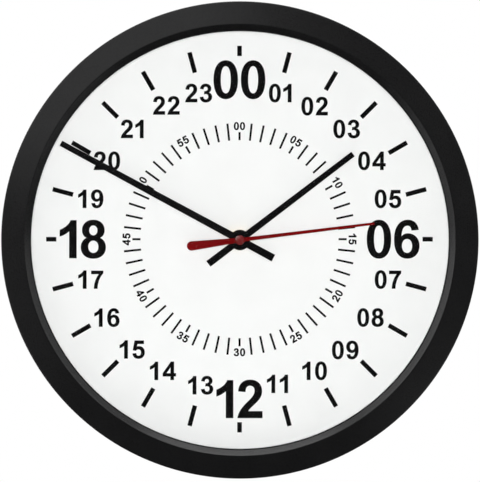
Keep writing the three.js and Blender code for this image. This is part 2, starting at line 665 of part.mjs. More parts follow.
// Thin tapered pointer with a tail that widens to a round end
function secondHand() {
  const front = secondHandFront;
  const pointer = new THREE.Shape([
    new THREE.Vector2(-SECOND_ROOT_WIDTH / 2, 0),
    new THREE.Vector2(SECOND_ROOT_WIDTH / 2, 0),
    new THREE.Vector2(SECOND_TIP_WIDTH / 2, SECOND_TIP),
    new THREE.Vector2(-SECOND_TIP_WIDTH / 2, SECOND_TIP),
  ]);
  const endRadius = SECOND_TAIL_WIDTH / 2;
  const tail = new THREE.Shape();
  tail.moveTo(SECOND_TAIL_NECK / 2, 0);
  tail.lineTo(-SECOND_TAIL_NECK / 2, 0);
  tail.absarc(0, endRadius - SECOND_TAIL, endRadius, Math.PI, 2 * Math.PI);
  return cut(
    join(plate(pointer, secondHandBack, front), plate(tail, secondHandBack, front, CURVE_STEPS),
      rod(SECOND_HUB_RADIUS, secondHandBack, front, TUBE_SIDES)),
    bore(capSleeveRadius + SEAT_GAP, secondHandBack, front, TUBE_SIDES),
  );
}

const capSleeveRadius = SECOND_ARBOR_RADIUS + SEAT_GAP + CAP_SLEEVE_WALL;

// Sleeve on the second arbor with the domed cap in front of the hand
function secondHandCap() {
  const bore = SECOND_ARBOR_RADIUS + SEAT_GAP;
  const domeBack = secondHandFront + SEAT_GAP;
  const dome = [];
  for (let i = 0; i <= CURVE_STEPS; i += 1) {
    const angle = Math.PI / 2 * i / CURVE_STEPS;
    const radius = i === CURVE_STEPS ? 0 : CAP_RADIUS * Math.cos(angle);
    dome.push([radius, domeBack + CAP_HEIGHT * Math.sin(angle)]);
  }
  return revolve([
    [0, domeBack],
    [bore, domeBack],
    [bore, capBack],
    [capSleeveRadius, capBack],
    [capSleeveRadius, domeBack],
    ...dome,
  ], TUBE_SIDES);
}

// Brass collet that holds a hand on its tube
function collet(tubeRadius, back, handBack) {
  const bore = tubeRadius + SEAT_GAP;
  return revolve([
    [bore, back],
    [bore + COLLET_SHOULDER, back],
    [bore + COLLET_SHOULDER, handBack - SEAT_GAP],
    [bore + COLLET_NECK, handBack - SEAT_GAP],
    [bore + COLLET_NECK, handBack + HAND_THICKNESS],
    [bore, handBack + HAND_THICKNESS],
  ], TUBE_SIDES);
}

function handHole(tubeRadius) {
  return tubeRadius + SEAT_GAP + COLLET_NECK + SEAT_GAP;
}

// Centre fixing
const bushFlangeRadius = bushRadius + BUSH_FLANGE_WIDTH;

function centreBush() {
  const flangeBack = trainFront + SEAT_GAP;
  return revolve([
    [bushBore, flangeBack],
    [bushFlangeRadius, flangeBack],
    [bushFlangeRadius, flangeBack + BUSH_FLANGE_THICKNESS],
    [bushRadius, flangeBack + BUSH_FLANGE_THICKNESS],
    [bushRadius, bushFront],
    [bushBore, bushFront],
  ], TUBE_SIDES);
}

function dialGasket() {
  return ring(bushRadius + CASE_GAP, GASKET_RADIUS, gasketBack, gasketBack + GASKET_THICKNESS, TUBE_SIDES);
}

function bushWasher() {
  return ring(bushRadius + SEAT_GAP, WASHER_RADIUS, washerBack, washerBack + WASHER_THICKNESS, TUBE_SIDES);
}

function bushNut() {
  const corner = NUT_FLATS / (2 * Math.cos(Math.PI / NUT_CORNERS));
  return cut(
    rod(corner, nutBack, nutFront, NUT_CORNERS),
    bore(bushRadius + SEAT_GAP, nutBack, nutFront, TUBE_SIDES),
  );
}

// Movement tub: two rooms open to the back, with the posts, pillars and bearing bosses of the train
const contactHeight = -TRAIN_BELOW + CONTACT_GAP + CONTACT_THICKNESS / 2;
const contactBack = tubBack + RUN_GAP;
const contactFront = contactBack + CONTACT_WIDTH;
const settingBearing = cannonFront + RUN_GAP;
const rotorBearing = magnetFront + RUN_GAP;

function tubOutline() {
  return roundedBox(-tubHalfWidth, tubBottom, tubHalfWidth, tubTop, TUB_CORNER);
}

function movementCase() {
  const body = plate(tubOutline(), tubBack, movementFront);
  const open = tubBack - CUT_OVERRUN;
  const bayOutline = roundedBox(-bayHalfWidth, bayBottom, bayHalfWidth, bayTop, ROOM_CORNER);
  const bay = plate(bayOutline, open, trainFront);
  const roomOutline = roundedBox(-roomHalfWidth, -TRAIN_BELOW, roomHalfWidth, TRAIN_ABOVE, ROOM_CORNER);
  const room = plate(roomOutline, open, trainFront);
  const notchWidth = CONTACT_THICKNESS + 4 * CONTACT_GAP;
  const notchTop = -TRAIN_BELOW + ROOM_CORNER;
  const notchBottom = bayTop - ROOM_CORNER;
  const notchFront = contactFront + RUN_GAP;
  const notches = [
    block(-bayHalfWidth, notchBottom, open, -bayHalfWidth + notchWidth, notchTop, notchFront),
    block(bayHalfWidth - notchWidth, notchBottom, open, bayHalfWidth, notchTop, notchFront),
  ];
  const hole = bore(bushRadius + SEAT_GAP, trainFront, movementFront, TUBE_SIDES);
  const seat = rod(bushFlangeRadius + SEAT_GAP, trainFront - CUT_OVERRUN,
    trainFront + SEAT_GAP + BUSH_FLANGE_THICKNESS + SEAT_GAP, TUBE_SIDES);

  const rooted = trainFront + TUB_FRONT / 2;
  const posts = [
    rodAt(motionCentre, MOTION_POST_RADIUS, motionWheelBack - RUN_GAP, rooted, PIN_SIDES),
    rodAt(thirdCentre, BEARING_BOSS_RADIUS, bearingFace, rooted, PIN_SIDES),
    rodAt(intermediateCentre, BEARING_BOSS_RADIUS, bearingFace, rooted, PIN_SIDES),
    rodAt(rotorCentre, BEARING_BOSS_RADIUS, rotorBearing, rooted, PIN_SIDES),
    rodAt(settingCentre, SETTING_PIVOT_RADIUS + BEARING_BOSS_RADIUS, settingBearing, rooted, PIN_SIDES),
  ];
  for (const centre of statorSeats) {
    posts.push(rodAt(centre, STATOR_LIMB / 2, statorFront + SEAT_GAP, rooted, PIN_SIDES));
  }
  for (const centre of [...boardPillars, ...bridgePillars]) {
    posts.push(rodAt(centre, PILLAR_RADIUS, bridgeFront + SEAT_GAP, rooted, PIN_SIDES));
    const pinBack = boardPillars.includes(centre) ? boardBack : bridgeBack;
    posts.push(rodAt(centre, PILLAR_PIN_RADIUS, pinBack, rooted, PIN_SIDES));
  }
  const pivotRadius = ARBOR_RADIUS + SEAT_GAP;
  const pivotEnd = PIVOT_DEPTH + SEAT_GAP;
  const pivots = [
    rodAt(thirdCentre, pivotRadius, bearingFace - CUT_OVERRUN, bearingFace + pivotEnd, PIN_SIDES),
    rodAt(intermediateCentre, pivotRadius, bearingFace - CUT_OVERRUN, bearingFace + pivotEnd, PIN_SIDES),
    rodAt(rotorCentre, pivotRadius, rotorBearing - CUT_OVERRUN, rotorBearing + pivotEnd, PIN_SIDES),
    rodAt(settingCentre, SETTING_PIVOT_RADIUS + SEAT_GAP, settingBearing - CUT_OVERRUN,
      settingBearing + pivotEnd, PIN_SIDES),
  ];
  return cut(join(cut(body, bay, room, ...notches, hole, seat), ...posts), ...pivots);
}

function movementCover() {
  const window = plate(roundedBox(
    -bayHalfWidth + WINDOW_MARGIN, bayBottom + WINDOW_MARGIN,
    bayHalfWidth - WINDOW_MARGIN, bayTop - WINDOW_MARGIN, ROOM_CORNER,
  ), coverBack - CUT_OVERRUN, coverFront + CUT_OVERRUN);
  const shaftHole = bore(SETTING_SHAFT_RADIUS + RUN_GAP, coverBack, coverFront, TUBE_SIDES, settingCentre);
  return cut(plate(tubOutline(), coverBack, coverFront), window, shaftHole);
}

// Bridge with the rear bearings, seated on the pillars
function trainBridge() {
  const left = boardPillars[0].x - BRIDGE_MARGIN;
  const right = rotorCentre.x + BRIDGE_MARGIN;
  const bottom = contactHeight + CONTACT_THICKNESS / 2 + RUN_GAP;
  const top = bridgePillars[0].y + BRIDGE_MARGIN;
  const body = plate(roundedBox(left, bottom, right, top, BRIDGE_MARGIN), bridgeBack, bridgeFront);
  const pivotHoles = [intermediateCentre, rotorCentre, thirdCentre]
    .map((centre) => bore(ARBOR_RADIUS + SEAT_GAP, bridgeBack, bridgeFront, PIN_SIDES, centre));
  const pinHoles = [...boardPillars, ...bridgePillars]
    .map((centre) => bore(PILLAR_PIN_RADIUS + SEAT_GAP, bridgeBack, bridgeFront, PIN_SIDES, centre));
  const secondHole = bore(SECOND_ARBOR_RADIUS + SEAT_GAP, bridgeBack, bridgeFront, PIN_SIDES);
  const shaftRadius = SETTING_SHAFT_RADIUS + RUN_GAP;
  const shaftHole = bore(shaftRadius, bridgeBack, bridgeFront, TUBE_SIDES, settingCentre);
  return cut(body, ...pivotHoles, ...pinHoles, secondHole, shaftHole);
}

// Electronics behind the bridge
const boardLeft = -roomHalfWidth + BOARD_SIDE_ROOM;
const boardMiddle = (boardLeft + BOARD_RIGHT_EDGE) / 2;

function circuitBoard() {
  const bottom = contactHeight + CONTACT_THICKNESS / 2 + CONTACT_GAP;
  const outline = roundedBox(boardLeft, bottom, BOARD_RIGHT_EDGE, BOARD_TOP_EDGE, ROOM_CORNER);
  const pinHoles = boardPillars
    .map((centre) => bore(PILLAR_PIN_RADIUS + SEAT_GAP, boardBack, boardFront, PIN_SIDES, centre));
  return cut(plate(outline, boardBack, boardFront), ...pinHoles);
}

// Domed drop of resin over the chip
function controlChip() {
  const base = boardBack - SEAT_GAP;
  const profile = [];
  for (let i = 0; i <= CURVE_STEPS; i += 1) {
    const angle = Math.PI / 2 * i / CURVE_STEPS;
    const radius = i === 0 ? 0 : CHIP_RADIUS * Math.sin(angle);
    profile.push([radius, base - CHIP_HEIGHT * Math.cos(angle)]);
  }
  return revolve([...profile, [0, base]], TUBE_SIDES);
}

// Can of the quartz crystal, lying on the board
function quartzCrystal() {
  return new THREE.CylinderGeometry(CRYSTAL_RADIUS, CRYSTAL_RADIUS, CRYSTAL_LENGTH, PIN_SIDES)
    .rotateZ(Math.PI / 2)
    .translate(0, 0, boardBack - SEAT_GAP - CRYSTAL_RADIUS);
}

// Bent contact strip that stands on edge, from the end of the bay through the notch to the partition
function contactStrip(points) {
  const leftSide = offsetPath(points, CONTACT_THICKNESS / 2);
  const rightSide = offsetPath(points, -CONTACT_THICKNESS / 2);
  const outline = new THREE.Shape([...leftSide, ...rightSide.reverse()]);
  return plate(outline, contactBack, contactFront);
}

const contactReach = bayHalfWidth - CONTACT_GAP - CONTACT_THICKNESS / 2;

function positiveContact() {
  return contactStrip([
    new THREE.Vector2(contactReach, batteryMiddle - CONTACT_HALF_SPAN),
    new THREE.Vector2(contactReach, contactHeight - CONTACT_BEND),
    new THREE.Vector2(contactReach - CONTACT_BEND, contactHeight),
    new THREE.Vector2(contactReach - CONTACT_RUN_POSITIVE, contactHeight),
  ]);
}

// The negative contact bows out as a leaf spring
function negativeContact() {
  return contactStrip([
    new THREE.Vector2(-contactReach, batteryMiddle - CONTACT_HALF_SPAN),
    new THREE.Vector2(CONTACT_BOW - contactReach, batteryMiddle),
    new THREE.Vector2(-contactReach, batteryMiddle + CONTACT_HALF_SPAN),
    new THREE.Vector2(-contactReach, contactHeight - CONTACT_BEND),
    new THREE.Vector2(CONTACT_BEND - contactReach, contactHeight),
    new THREE.Vector2(CONTACT_RUN_NEGATIVE - contactReach, contactHeight),
  ]);
}

// Stepping motor: stator ring with two arms to the ends of the coil's core
const coilHalf = COIL_LENGTH / 2 + BOBBIN_FLANGE;
const armMiddle = coilHalf + RUN_GAP + STATOR_ARM / 2;
const statorSeats = [
  new THREE.Vector2(rotorCentre.x, rotorCentre.y + armMiddle),
  new THREE.Vector2(rotorCentre.x, rotorCentre.y - armMiddle),
];

function stator() {
  const { x, y } = rotorCentre;
  const hole = MAGNET_RADIUS + AIR_GAP;
  const armEnd = coilCentre.x + CORE_WIDTH / 2;
  const limbLeft = x - STATOR_LIMB / 2;
  const outer = armMiddle + STATOR_ARM / 2;
  const inner = armMiddle - STATOR_ARM / 2;
  return cut(
    join(
      rodAt(rotorCentre, hole + STATOR_RING, statorBack, statorFront, TUBE_SIDES),
      block(limbLeft, y - outer, statorBack, limbLeft + STATOR_LIMB, y + outer, statorFront),
      block(limbLeft, y + inner, statorBack, armEnd, y + outer, statorFront),
      block(limbLeft, y - outer, statorBack, armEnd, y - inner, statorFront),
    ),
    bore(hole, statorBack, statorFront, TUBE_SIDES, rotorCentre),
  );
}

// The coil's pieces are made about the coil's own axis, which lies along y at the core's height
function coilCore() {
  const half = armMiddle + STATOR_ARM / 2;
  return block(-CORE_WIDTH / 2, -half, -CORE_THICKNESS / 2, CORE_WIDTH / 2, half, CORE_THICKNESS / 2);
}

const bobbinTubeRadius = Math.hypot(CORE_WIDTH, CORE_THICKNESS) / 2 + SEAT_GAP + BOBBIN_TUBE_WALL;

function coilBobbin() {
  const half = COIL_LENGTH / 2;
  const spool = revolve([
    [0, -coilHalf],
    [BOBBIN_FLANGE_RADIUS, -coilHalf],
    [BOBBIN_FLANGE_RADIUS, -half],
    [bobbinTubeRadius, -half],
    [bobbinTubeRadius, half],
    [BOBBIN_FLANGE_RADIUS, half],
    [BOBBIN_FLANGE_RADIUS, coilHalf],
    [0, coilHalf],
  ], TUBE_SIDES).rotateX(-Math.PI / 2);
  const slot = block(-CORE_WIDTH / 2 - SEAT_GAP, -coilHalf - CUT_OVERRUN, -CORE_THICKNESS / 2 - SEAT_GAP,
    CORE_WIDTH / 2 + SEAT_GAP, coilHalf + CUT_OVERRUN, CORE_THICKNESS / 2 + SEAT_GAP);
  return cut(spool, slot);
}

function coilWinding() {
  const half = COIL_LENGTH / 2 - SEAT_GAP;
  return ring(bobbinTubeRadius + SEAT_GAP, COIL_RADIUS, -half, half, TUBE_SIDES).rotateX(-Math.PI / 2);
}

// Turning pieces, each about its own arbor
function rotorPinion() {
  return join(
    pinion(ROTOR_PINION_TEETH, rotorModule, thirdWheelBack - PINION_OVERHANG, secondPinionFront),
    rod(ARBOR_RADIUS, bridgeBack + SEAT_GAP, rotorBearing + PIVOT_DEPTH, PIN_SIDES),
  );
}

function rotorMagnet() {
  return ring(ARBOR_RADIUS + SEAT_GAP, MAGNET_RADIUS, magnetBack, magnetFront, TUBE_SIDES);
}

function intermediateWheel() {
  const front = thirdWheelBack + WHEEL_THICKNESS;
  return join(
    wheel(INTERMEDIATE_WHEEL_TEETH, rotorModule, thirdWheelBack, front),
    pinion(INTERMEDIATE_PINION_TEETH, secondModule, secondWheelBack - PINION_OVERHANG,
      front - WHEEL_THICKNESS / 2),
    rod(ARBOR_RADIUS, bridgeBack + SEAT_GAP, bearingFace + PIVOT_DEPTH, PIN_SIDES),
  );
}

function secondWheel() {
  return join(
    wheel(SECOND_WHEEL_TEETH, secondModule, secondWheelBack, secondWheelFront),
    pinion(SECOND_PINION_TEETH, thirdModule, secondWheelBack + WHEEL_THICKNESS / 2, secondPinionFront),
    rod(SECOND_ARBOR_RADIUS, bridgeBack + SEAT_GAP, secondHandFront, PIN_SIDES),
  );
}

function thirdWheel() {
  return join(
    wheel(THIRD_WHEEL_TEETH, thirdModule, thirdWheelBack, thirdWheelBack + WHEEL_THICKNESS),
    pinion(THIRD_PINION_TEETH, minuteModule, minuteWheelBack - PINION_OVERHANG,
      minuteWheelFront + PINION_OVERHANG),
    rod(ARBOR_RADIUS, bridgeBack + SEAT_GAP, bearingFace + PIVOT_DEPTH, PIN_SIDES),
  );
}

function minuteDriveWheel() {
  return cut(
    wheel(MINUTE_WHEEL_TEETH, minuteModule, minuteWheelBack, minuteWheelFront),
    bore(cannonSleeveRadius + SEAT_GAP, minuteWheelBack, minuteWheelFront, TUBE_SIDES),
  );
}

function cannonPinion() {
  return cut(
    join(
      pinion(CANNON_PINION_TEETH, motionModule, cannonBack, cannonFront),
      rod(cannonSleeveRadius, cannonSleeveBack, cannonFront, TUBE_SIDES),
      rod(cannonRadius, cannonFront - PINION_OVERHANG, cannonTubeFront, TUBE_SIDES),
    ),
    bore(cannonBore, cannonSleeveBack, cannonTubeFront, TUBE_SIDES),
  );
}

function motionWheel() {
  const wheelFront = motionWheelBack + WHEEL_THICKNESS;
  return cut(
    join(
      wheel(MOTION_WHEEL_TEETH, motionModule, motionWheelBack, wheelFront),
      pinion(MOTION_PINION_TEETH, hourModule, wheelFront - WHEEL_THICKNESS / 2, hourWheelFront),
    ),
    bore(MOTION_POST_RADIUS + SEAT_GAP, motionWheelBack, hourWheelFront, PIN_SIDES),
  );
}

function hourWheel() {
  return cut(
    join(
      wheel(HOUR_WHEEL_TEETH, hourModule, hourWheelBack, hourWheelFront),
      rod(hourTubeRadius, hourWheelBack, hourTubeFront, TUBE_SIDES),
    ),
    bore(hourBore, hourWheelBack, hourTubeFront, TUBE_SIDES),
  );
}

function settingShaft() {
  return join(
    pinion(SETTING_PINION_TEETH, settingModule, cannonBack, cannonFront),
    rod(SETTING_SHAFT_RADIUS, KNOB_WALL_GAP, cannonFront - PINION_OVERHANG, TUBE_SIDES),
    rod(SETTING_PIVOT_RADIUS, cannonBack, settingBearing + PIVOT_DEPTH, PIN_SIDES),
  );
}

// Ribbed knob with a collar round its shaft
function settingKnob() {
  const corners = [];
  for (let i = 0; i < 2 * KNOB_RIBS; i += 1) {
    const angle = Math.PI * i / KNOB_RIBS;
    const radius = KNOB_RADIUS - (i % 2) * KNOB_RIB_HEIGHT;
    corners.push(new THREE.Vector2(radius * Math.cos(angle), radius * Math.sin(angle)));
  }
  const knobFront = KNOB_WALL_GAP + KNOB_THICKNESS;
  const discBack = knobFront - KNOB_RIM;
  return cut(
    join(
      plate(new THREE.Shape(corners), discBack, knobFront),
      rod(KNOB_COLLAR_RADIUS, KNOB_WALL_GAP, knobFront, TUBE_SIDES),
    ),
    bore(SETTING_SHAFT_RADIUS + SEAT_GAP, KNOB_WALL_GAP, knobFront, TUBE_SIDES),
  );
}

// Cell with its cap towards +x, made about its own axis from the flat end
function battery() {
  const shoulder = BATTERY_LENGTH - BATTERY_NUB_LENGTH;
  return revolve([
    [0, 0],
    [BATTERY_RADIUS - BATTERY_EDGE, 0],
    [BATTERY_RADIUS, BATTERY_EDGE],
    [BATTERY_RADIUS, shoulder - BATTERY_EDGE],
    [BATTERY_RADIUS - BATTERY_EDGE, shoulder],
    [BATTERY_NUB_RADIUS, shoulder],
    [BATTERY_NUB_RADIUS, BATTERY_LENGTH],
    [0, BATTERY_LENGTH],
  ], TUBE_SIDES).rotateY(Math.PI / 2);
}

// Looks of the sub-parts
function material(color, roughness, metalness) {
  return new THREE.MeshStandardMaterial({ color, roughness, metalness });
}

const blackPlastic = material(0x17181a, 0.5, 0);
const clearGlass = material(0xe8eeee, 0.05, 0);
const whiteCard = material(0xf6f6f4, 0.6, 0);
const blackPaint = material(0x101010, 0.45, 0.1);
const redPaint = material(0x96141c, 0.4, 0.1);
const brass = material(0xb8924a, 0.3, 0.9);
const steel = material(0xb4b7ba, 0.35, 0.9);
const copper = material(0xa8603a, 0.4, 0.8);
const housingPlastic = material(0x1d1e20, 0.6, 0);
const gearPlastic = material(0xe4e1d6, 0.55, 0);
const boardLaminate = material(0x2d5b34, 0.6, 0);
const resin = material(0x0c0c0c, 0.35, 0);
const ferrite = material(0x3a3a3c, 0.5, 0.4);
const rubber = material(0x202020, 0.85, 0);
const cellJacket = material(0x8c9094, 0.35, 0.5);

const dialFrame = new THREE.Group();

// Named piece at a place in the dial plane, turned anticlockwise by an angle in radians
function place(name, geometry, look, centre = axis, turn = 0, height = 0) {
  const mesh = new THREE.Mesh(geometry, look);
  mesh.name = name;
  mesh.position.set(centre.x, centre.y, height);
  mesh.rotation.z = turn;
  dialFrame.add(mesh);
}

// Case
place('bezel_ring', bezelRing(), blackPlastic);
place('lens', lens(), clearGlass);
place('dial', dial(), whiteCard);
place('back_pan', backPan(), blackPlastic);
for (let i = 0; i < SCREW_COUNT; i += 1) {
  place(`case_screw_${i + 1}`, caseScrew(), steel, step(axis, 360 * i / SCREW_COUNT, screwCircle));
}

// Movement, fixed pieces
place('movement_case', movementCase(), housingPlastic);
place('movement_cover', movementCover(), housingPlastic);
place('centre_bush', centreBush(), brass);
place('dial_gasket', dialGasket(), rubber);
place('bush_washer', bushWasher(), steel);
place('bush_nut', bushNut(), brass);
place('train_bridge', trainBridge(), gearPlastic);
place('circuit_board', circuitBoard(), boardLaminate);
place('control_chip', controlChip(), resin, new THREE.Vector2(boardMiddle, CHIP_LEVEL));
place('quartz_crystal', quartzCrystal(), steel, new THREE.Vector2(boardMiddle, CRYSTAL_LEVEL));
place('positive_contact', positiveContact(), steel);
place('negative_contact', negativeContact(), steel);
place('stator', stator(), steel);
place('coil_core', coilCore(), steel, coilCentre, 0, coreMiddle);
place('coil_bobbin', coilBobbin(), gearPlastic, coilCentre, 0, coreMiddle);
place('coil_winding', coilWinding(), copper, coilCentre, 0, coreMiddle);

// Movement, turning pieces: each gear is turned so that its teeth meet its neighbour's gaps
const secondWheelTurn = 0;
const intermediateTurn = meshedTurn(secondWheelTurn, SECOND_WHEEL_TEETH, INTERMEDIATE_PINION_TEETH,
  INTERMEDIATE_BEARING);
const rotorTurn = meshedTurn(intermediateTurn, INTERMEDIATE_WHEEL_TEETH, ROTOR_PINION_TEETH, ROTOR_BEARING);
const thirdTurn = meshedTurn(secondWheelTurn, SECOND_PINION_TEETH, THIRD_WHEEL_TEETH, THIRD_BEARING);
const minuteTurn = meshedTurn(thirdTurn, THIRD_PINION_TEETH, MINUTE_WHEEL_TEETH, THIRD_BEARING + 180);
const cannonTurn = 0;
const motionTurn = meshedTurn(cannonTurn, CANNON_PINION_TEETH, MOTION_WHEEL_TEETH, MOTION_BEARING);
const hourTurn = meshedTurn(motionTurn, MOTION_PINION_TEETH, HOUR_WHEEL_TEETH, MOTION_BEARING + 180);
const settingTurn = meshedTurn(motionTurn, MOTION_WHEEL_TEETH, SETTING_PINION_TEETH, MOTION_BEARING);
place('rotor_pinion', rotorPinion(), gearPlastic, rotorCentre, rotorTurn);
place('rotor_magnet', rotorMagnet(), ferrite, rotorCentre, rotorTurn);
place('intermediate_wheel', intermediateWheel(), gearPlastic, intermediateCentre, intermediateTurn);
place('second_wheel', secondWheel(), gearPlastic, axis, secondWheelTurn);
place('third_wheel', thirdWheel(), gearPlastic, thirdCentre, thirdTurn);
place('minute_drive_wheel', minuteDriveWheel(), gearPlastic, axis, minuteTurn);
place('cannon_pinion', cannonPinion(), brass, axis, cannonTurn);
place('motion_wheel', motionWheel(), gearPlastic, motionCentre, motionTurn);
place('hour_wheel', hourWheel(), gearPlastic, axis, hourTurn);
place('setting_shaft', settingShaft(), gearPlastic, settingCentre, settingTurn);
place('setting_knob', settingKnob(), housingPlastic, settingCentre, settingTurn);

// Hands with what holds them, turned clockwise from the top
function placeHand(name, geometry, look, degrees) {
  place(name, geometry, look, axis, -THREE.MathUtils.degToRad(degrees));
}

function hourHand() {
  return batonHand(HOUR_TIP, HOUR_TAIL, HOUR_TIP_WIDTH, HOUR_TAIL_WIDTH, HOUR_HUB_RADIUS,
    handHole(hourTubeRadius), hourHandBack);
}

function minuteHand() {
  return batonHand(MINUTE_TIP, MINUTE_TAIL, MINUTE_TIP_WIDTH, MINUTE_TAIL_WIDTH, MINUTE_HUB_RADIUS,
    handHole(cannonRadius), minuteHandBack);
}

const hourCollet = collet(hourTubeRadius, hourColletBack, hourHandBack);
const minuteCollet = collet(cannonRadius, minuteColletBack, minuteHandBack);
placeHand('hour_hand_collet', hourCollet, brass, HOUR_ANGLE);
placeHand('hour_hand', hourHand(), blackPaint, HOUR_ANGLE);
placeHand('minute_hand_collet', minuteCollet, brass, MINUTE_ANGLE);
placeHand('minute_hand', minuteHand(), blackPaint, MINUTE_ANGLE);
placeHand('second_hand', secondHand(), redPaint, SECOND_ANGLE);
placeHand('second_hand_cap', secondHandCap(), redPaint, SECOND_ANGLE);

// Battery between the contacts
const batteryStart = bayHalfWidth - 2 * CONTACT_GAP - CONTACT_THICKNESS - BATTERY_LENGTH;
const batteryHeight = coverBack + BATTERY_SINK + BATTERY_RADIUS;
place('battery', battery(), cellJacket, new THREE.Vector2(batteryStart, batteryMiddle), 0, batteryHeight);

// Stand the dial frame upright, with the seat of the hanging slot at the origin
const clock = new THREE.Group();
dialFrame.rotation.x = Math.PI / 2;
dialFrame.position.z = -hangRadius;
clock.add(dialFrame);

export default clock;
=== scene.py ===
"""Looks of a twenty-four-hour wall clock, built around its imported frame.

Shapes are drawn in millimetres in the dial's own frame: x to the right, y up, z from the wall to the viewer.
"""
import json
import math

import bmesh
import bpy
from mathutils import Matrix, Vector
from mathutils.geometry import tessellate_polygon

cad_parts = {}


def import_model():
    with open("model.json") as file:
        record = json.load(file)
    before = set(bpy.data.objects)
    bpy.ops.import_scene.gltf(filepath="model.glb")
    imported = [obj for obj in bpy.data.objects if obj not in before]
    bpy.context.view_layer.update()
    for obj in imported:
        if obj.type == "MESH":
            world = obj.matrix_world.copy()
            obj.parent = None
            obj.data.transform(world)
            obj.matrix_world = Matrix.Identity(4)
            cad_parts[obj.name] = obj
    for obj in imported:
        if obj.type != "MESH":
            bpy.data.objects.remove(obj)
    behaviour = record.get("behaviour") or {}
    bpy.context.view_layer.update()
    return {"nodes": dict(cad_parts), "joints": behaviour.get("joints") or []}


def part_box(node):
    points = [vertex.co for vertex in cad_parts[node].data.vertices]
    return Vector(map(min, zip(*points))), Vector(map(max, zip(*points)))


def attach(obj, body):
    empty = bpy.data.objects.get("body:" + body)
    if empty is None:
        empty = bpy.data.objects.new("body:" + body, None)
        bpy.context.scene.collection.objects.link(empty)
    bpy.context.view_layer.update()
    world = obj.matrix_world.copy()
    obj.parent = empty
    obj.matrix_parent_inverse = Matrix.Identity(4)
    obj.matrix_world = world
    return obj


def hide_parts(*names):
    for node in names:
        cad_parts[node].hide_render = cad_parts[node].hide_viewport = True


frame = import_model()

# Shared frame
MM = 0.001
hand_joint = next(joint for joint in frame["joints"] if joint["name"] == "minute_turn")
axis = Vector(hand_joint["pos_m"])
TO_FRAME = Matrix(((MM, 0, 0, axis.x), (0, 0, -MM, 0), (0, MM, 0, axis.z), (0, 0, 0, 1)))

# Gaps
CASE_GAP = 0.3
SEAT_GAP = 0.1
CUT_CLEAR = 1

# Bezel section
OPENING_RADIUS = 153.8
BEVEL_WIDTH = 4.9
RIDGE_CROWN = 0.13
RIDGE_ROUND = 0.6
LAND_WIDTH = 0.9
BAND_FALL = 5.3
EDGE_WIDTH = 2.5
EDGE_FALL = 1.0
EDGE_SHOULDER = 0.2
SIDE_DRAFT = 1.9
FLAT_MARGIN = 1.5
CASE_WALL = 2.8
LIP_THICKNESS = 1.4
LIP_ROUND = 0.35
SKIRT_WALL = 2.2
SKIRT_DEPTH = 13
BOSS_RADIUS = 4
BOSS_BACK = 6.1
GUSSET_THICKNESS = 2

# Pan
DISH_STEP = 5
DISH_DRAFT = 4
DISH_WALL = 2.4
FLANGE_THICKNESS = 2.6
FLOOR_THICKNESS = 2.5
SPACER_WALL = 2
WELL_WALL = 2
WELL_DEPTH = 12
WELL_CORNER = 3.4
RIB_COUNT = 8
RIB_THICKNESS = 1.8
RIB_DEPTH = 8
MOULD_ROUND = 0.45
CUP_WALL = 1.8
CUP_FLOOR = 2.2
HANG_MARGIN = 8.6
KEYHOLE_DROP = 11
KEYHOLE_ENTRY_RADIUS = 5
KEYHOLE_SLOT_WIDTH = 5
HANGER_PLATE = 2.6
HANGER_WALL = 2.4
HANGER_HEADROOM = 4.5
TOWER_SINK = 0.05

# Screws
SCREW_COUNT = 6
SCREW_FIRST_ANGLE = 30
SCREW_HEAD_RADIUS = 3.2
SCREW_HEAD_HEIGHT = 2.1
SCREW_CROWN_RADIUS = 1.76
SCREW_CROWN_HEIGHT = 0.945
SCREW_CROWN_ROUND = 0.4
SCREW_SHOULDER_ROUND = 0.8
SCREW_RIM_ROUND = 0.15
SCREW_SHANK_RADIUS = 1.4
SCREW_SINK = 1.2
SCREW_POINT = 2
SCREW_PITCH = 1.1
SCREW_ROOT_SHARE = 0.2
RECESS_LENGTH = 3.6
RECESS_WIDTH = 0.75
RECESS_DEPTH = 1.3
RECESS_TURN = 20

# Hands
HOUR_ANGLE = 52.8
MINUTE_ANGLE = 298.4
SECOND_ANGLE = 83
HOUR_BLADE = {"tip": 105, "tail": 29.2, "tip_width": 4.2, "tail_width": 5.2, "hub": 7.2, "hole": 3.2}
MINUTE_BLADE = {"tip": 150.2, "tail": 28.1, "tip_width": 4.2, "tail_width": 5.6, "hub": 7.6, "hole": 2.3}
SECOND_TIP = 100
SECOND_TIP_WIDTH = 1.8
SECOND_ROOT_WIDTH = 2.9
SECOND_TAIL = 39.4
SECOND_TAIL_NECK = 3.6
SECOND_TAIL_WIDTH = 6.9
SECOND_HUB = 3.2
SECOND_HOLE = 1.3
HAND_ROUND = 0.12
CAP_SLEEVE = 1.2
CAP_BORE = 0.6
CAP_HEIGHT = 1.2

# Centre fixing
BUSH_RADIUS = 4
BUSH_BORE = 2.75
BUSH_FLANGE_RADIUS = 5.5
BUSH_FLANGE_THICKNESS = 0.7
BUSH_PITCH = 0.75
BUSH_ROOT_SHARE = 0.1
THREAD_DEPTH = 0.3
NUT_FLATS = 12
NUT_CHAMFER = 0.35
NUT_CHAMFER_ANGLE = 30
COLLET_SHOULDER = 1.0
COLLET_NECK = 0.5
COLLET_NECK_HEIGHT = 0.6

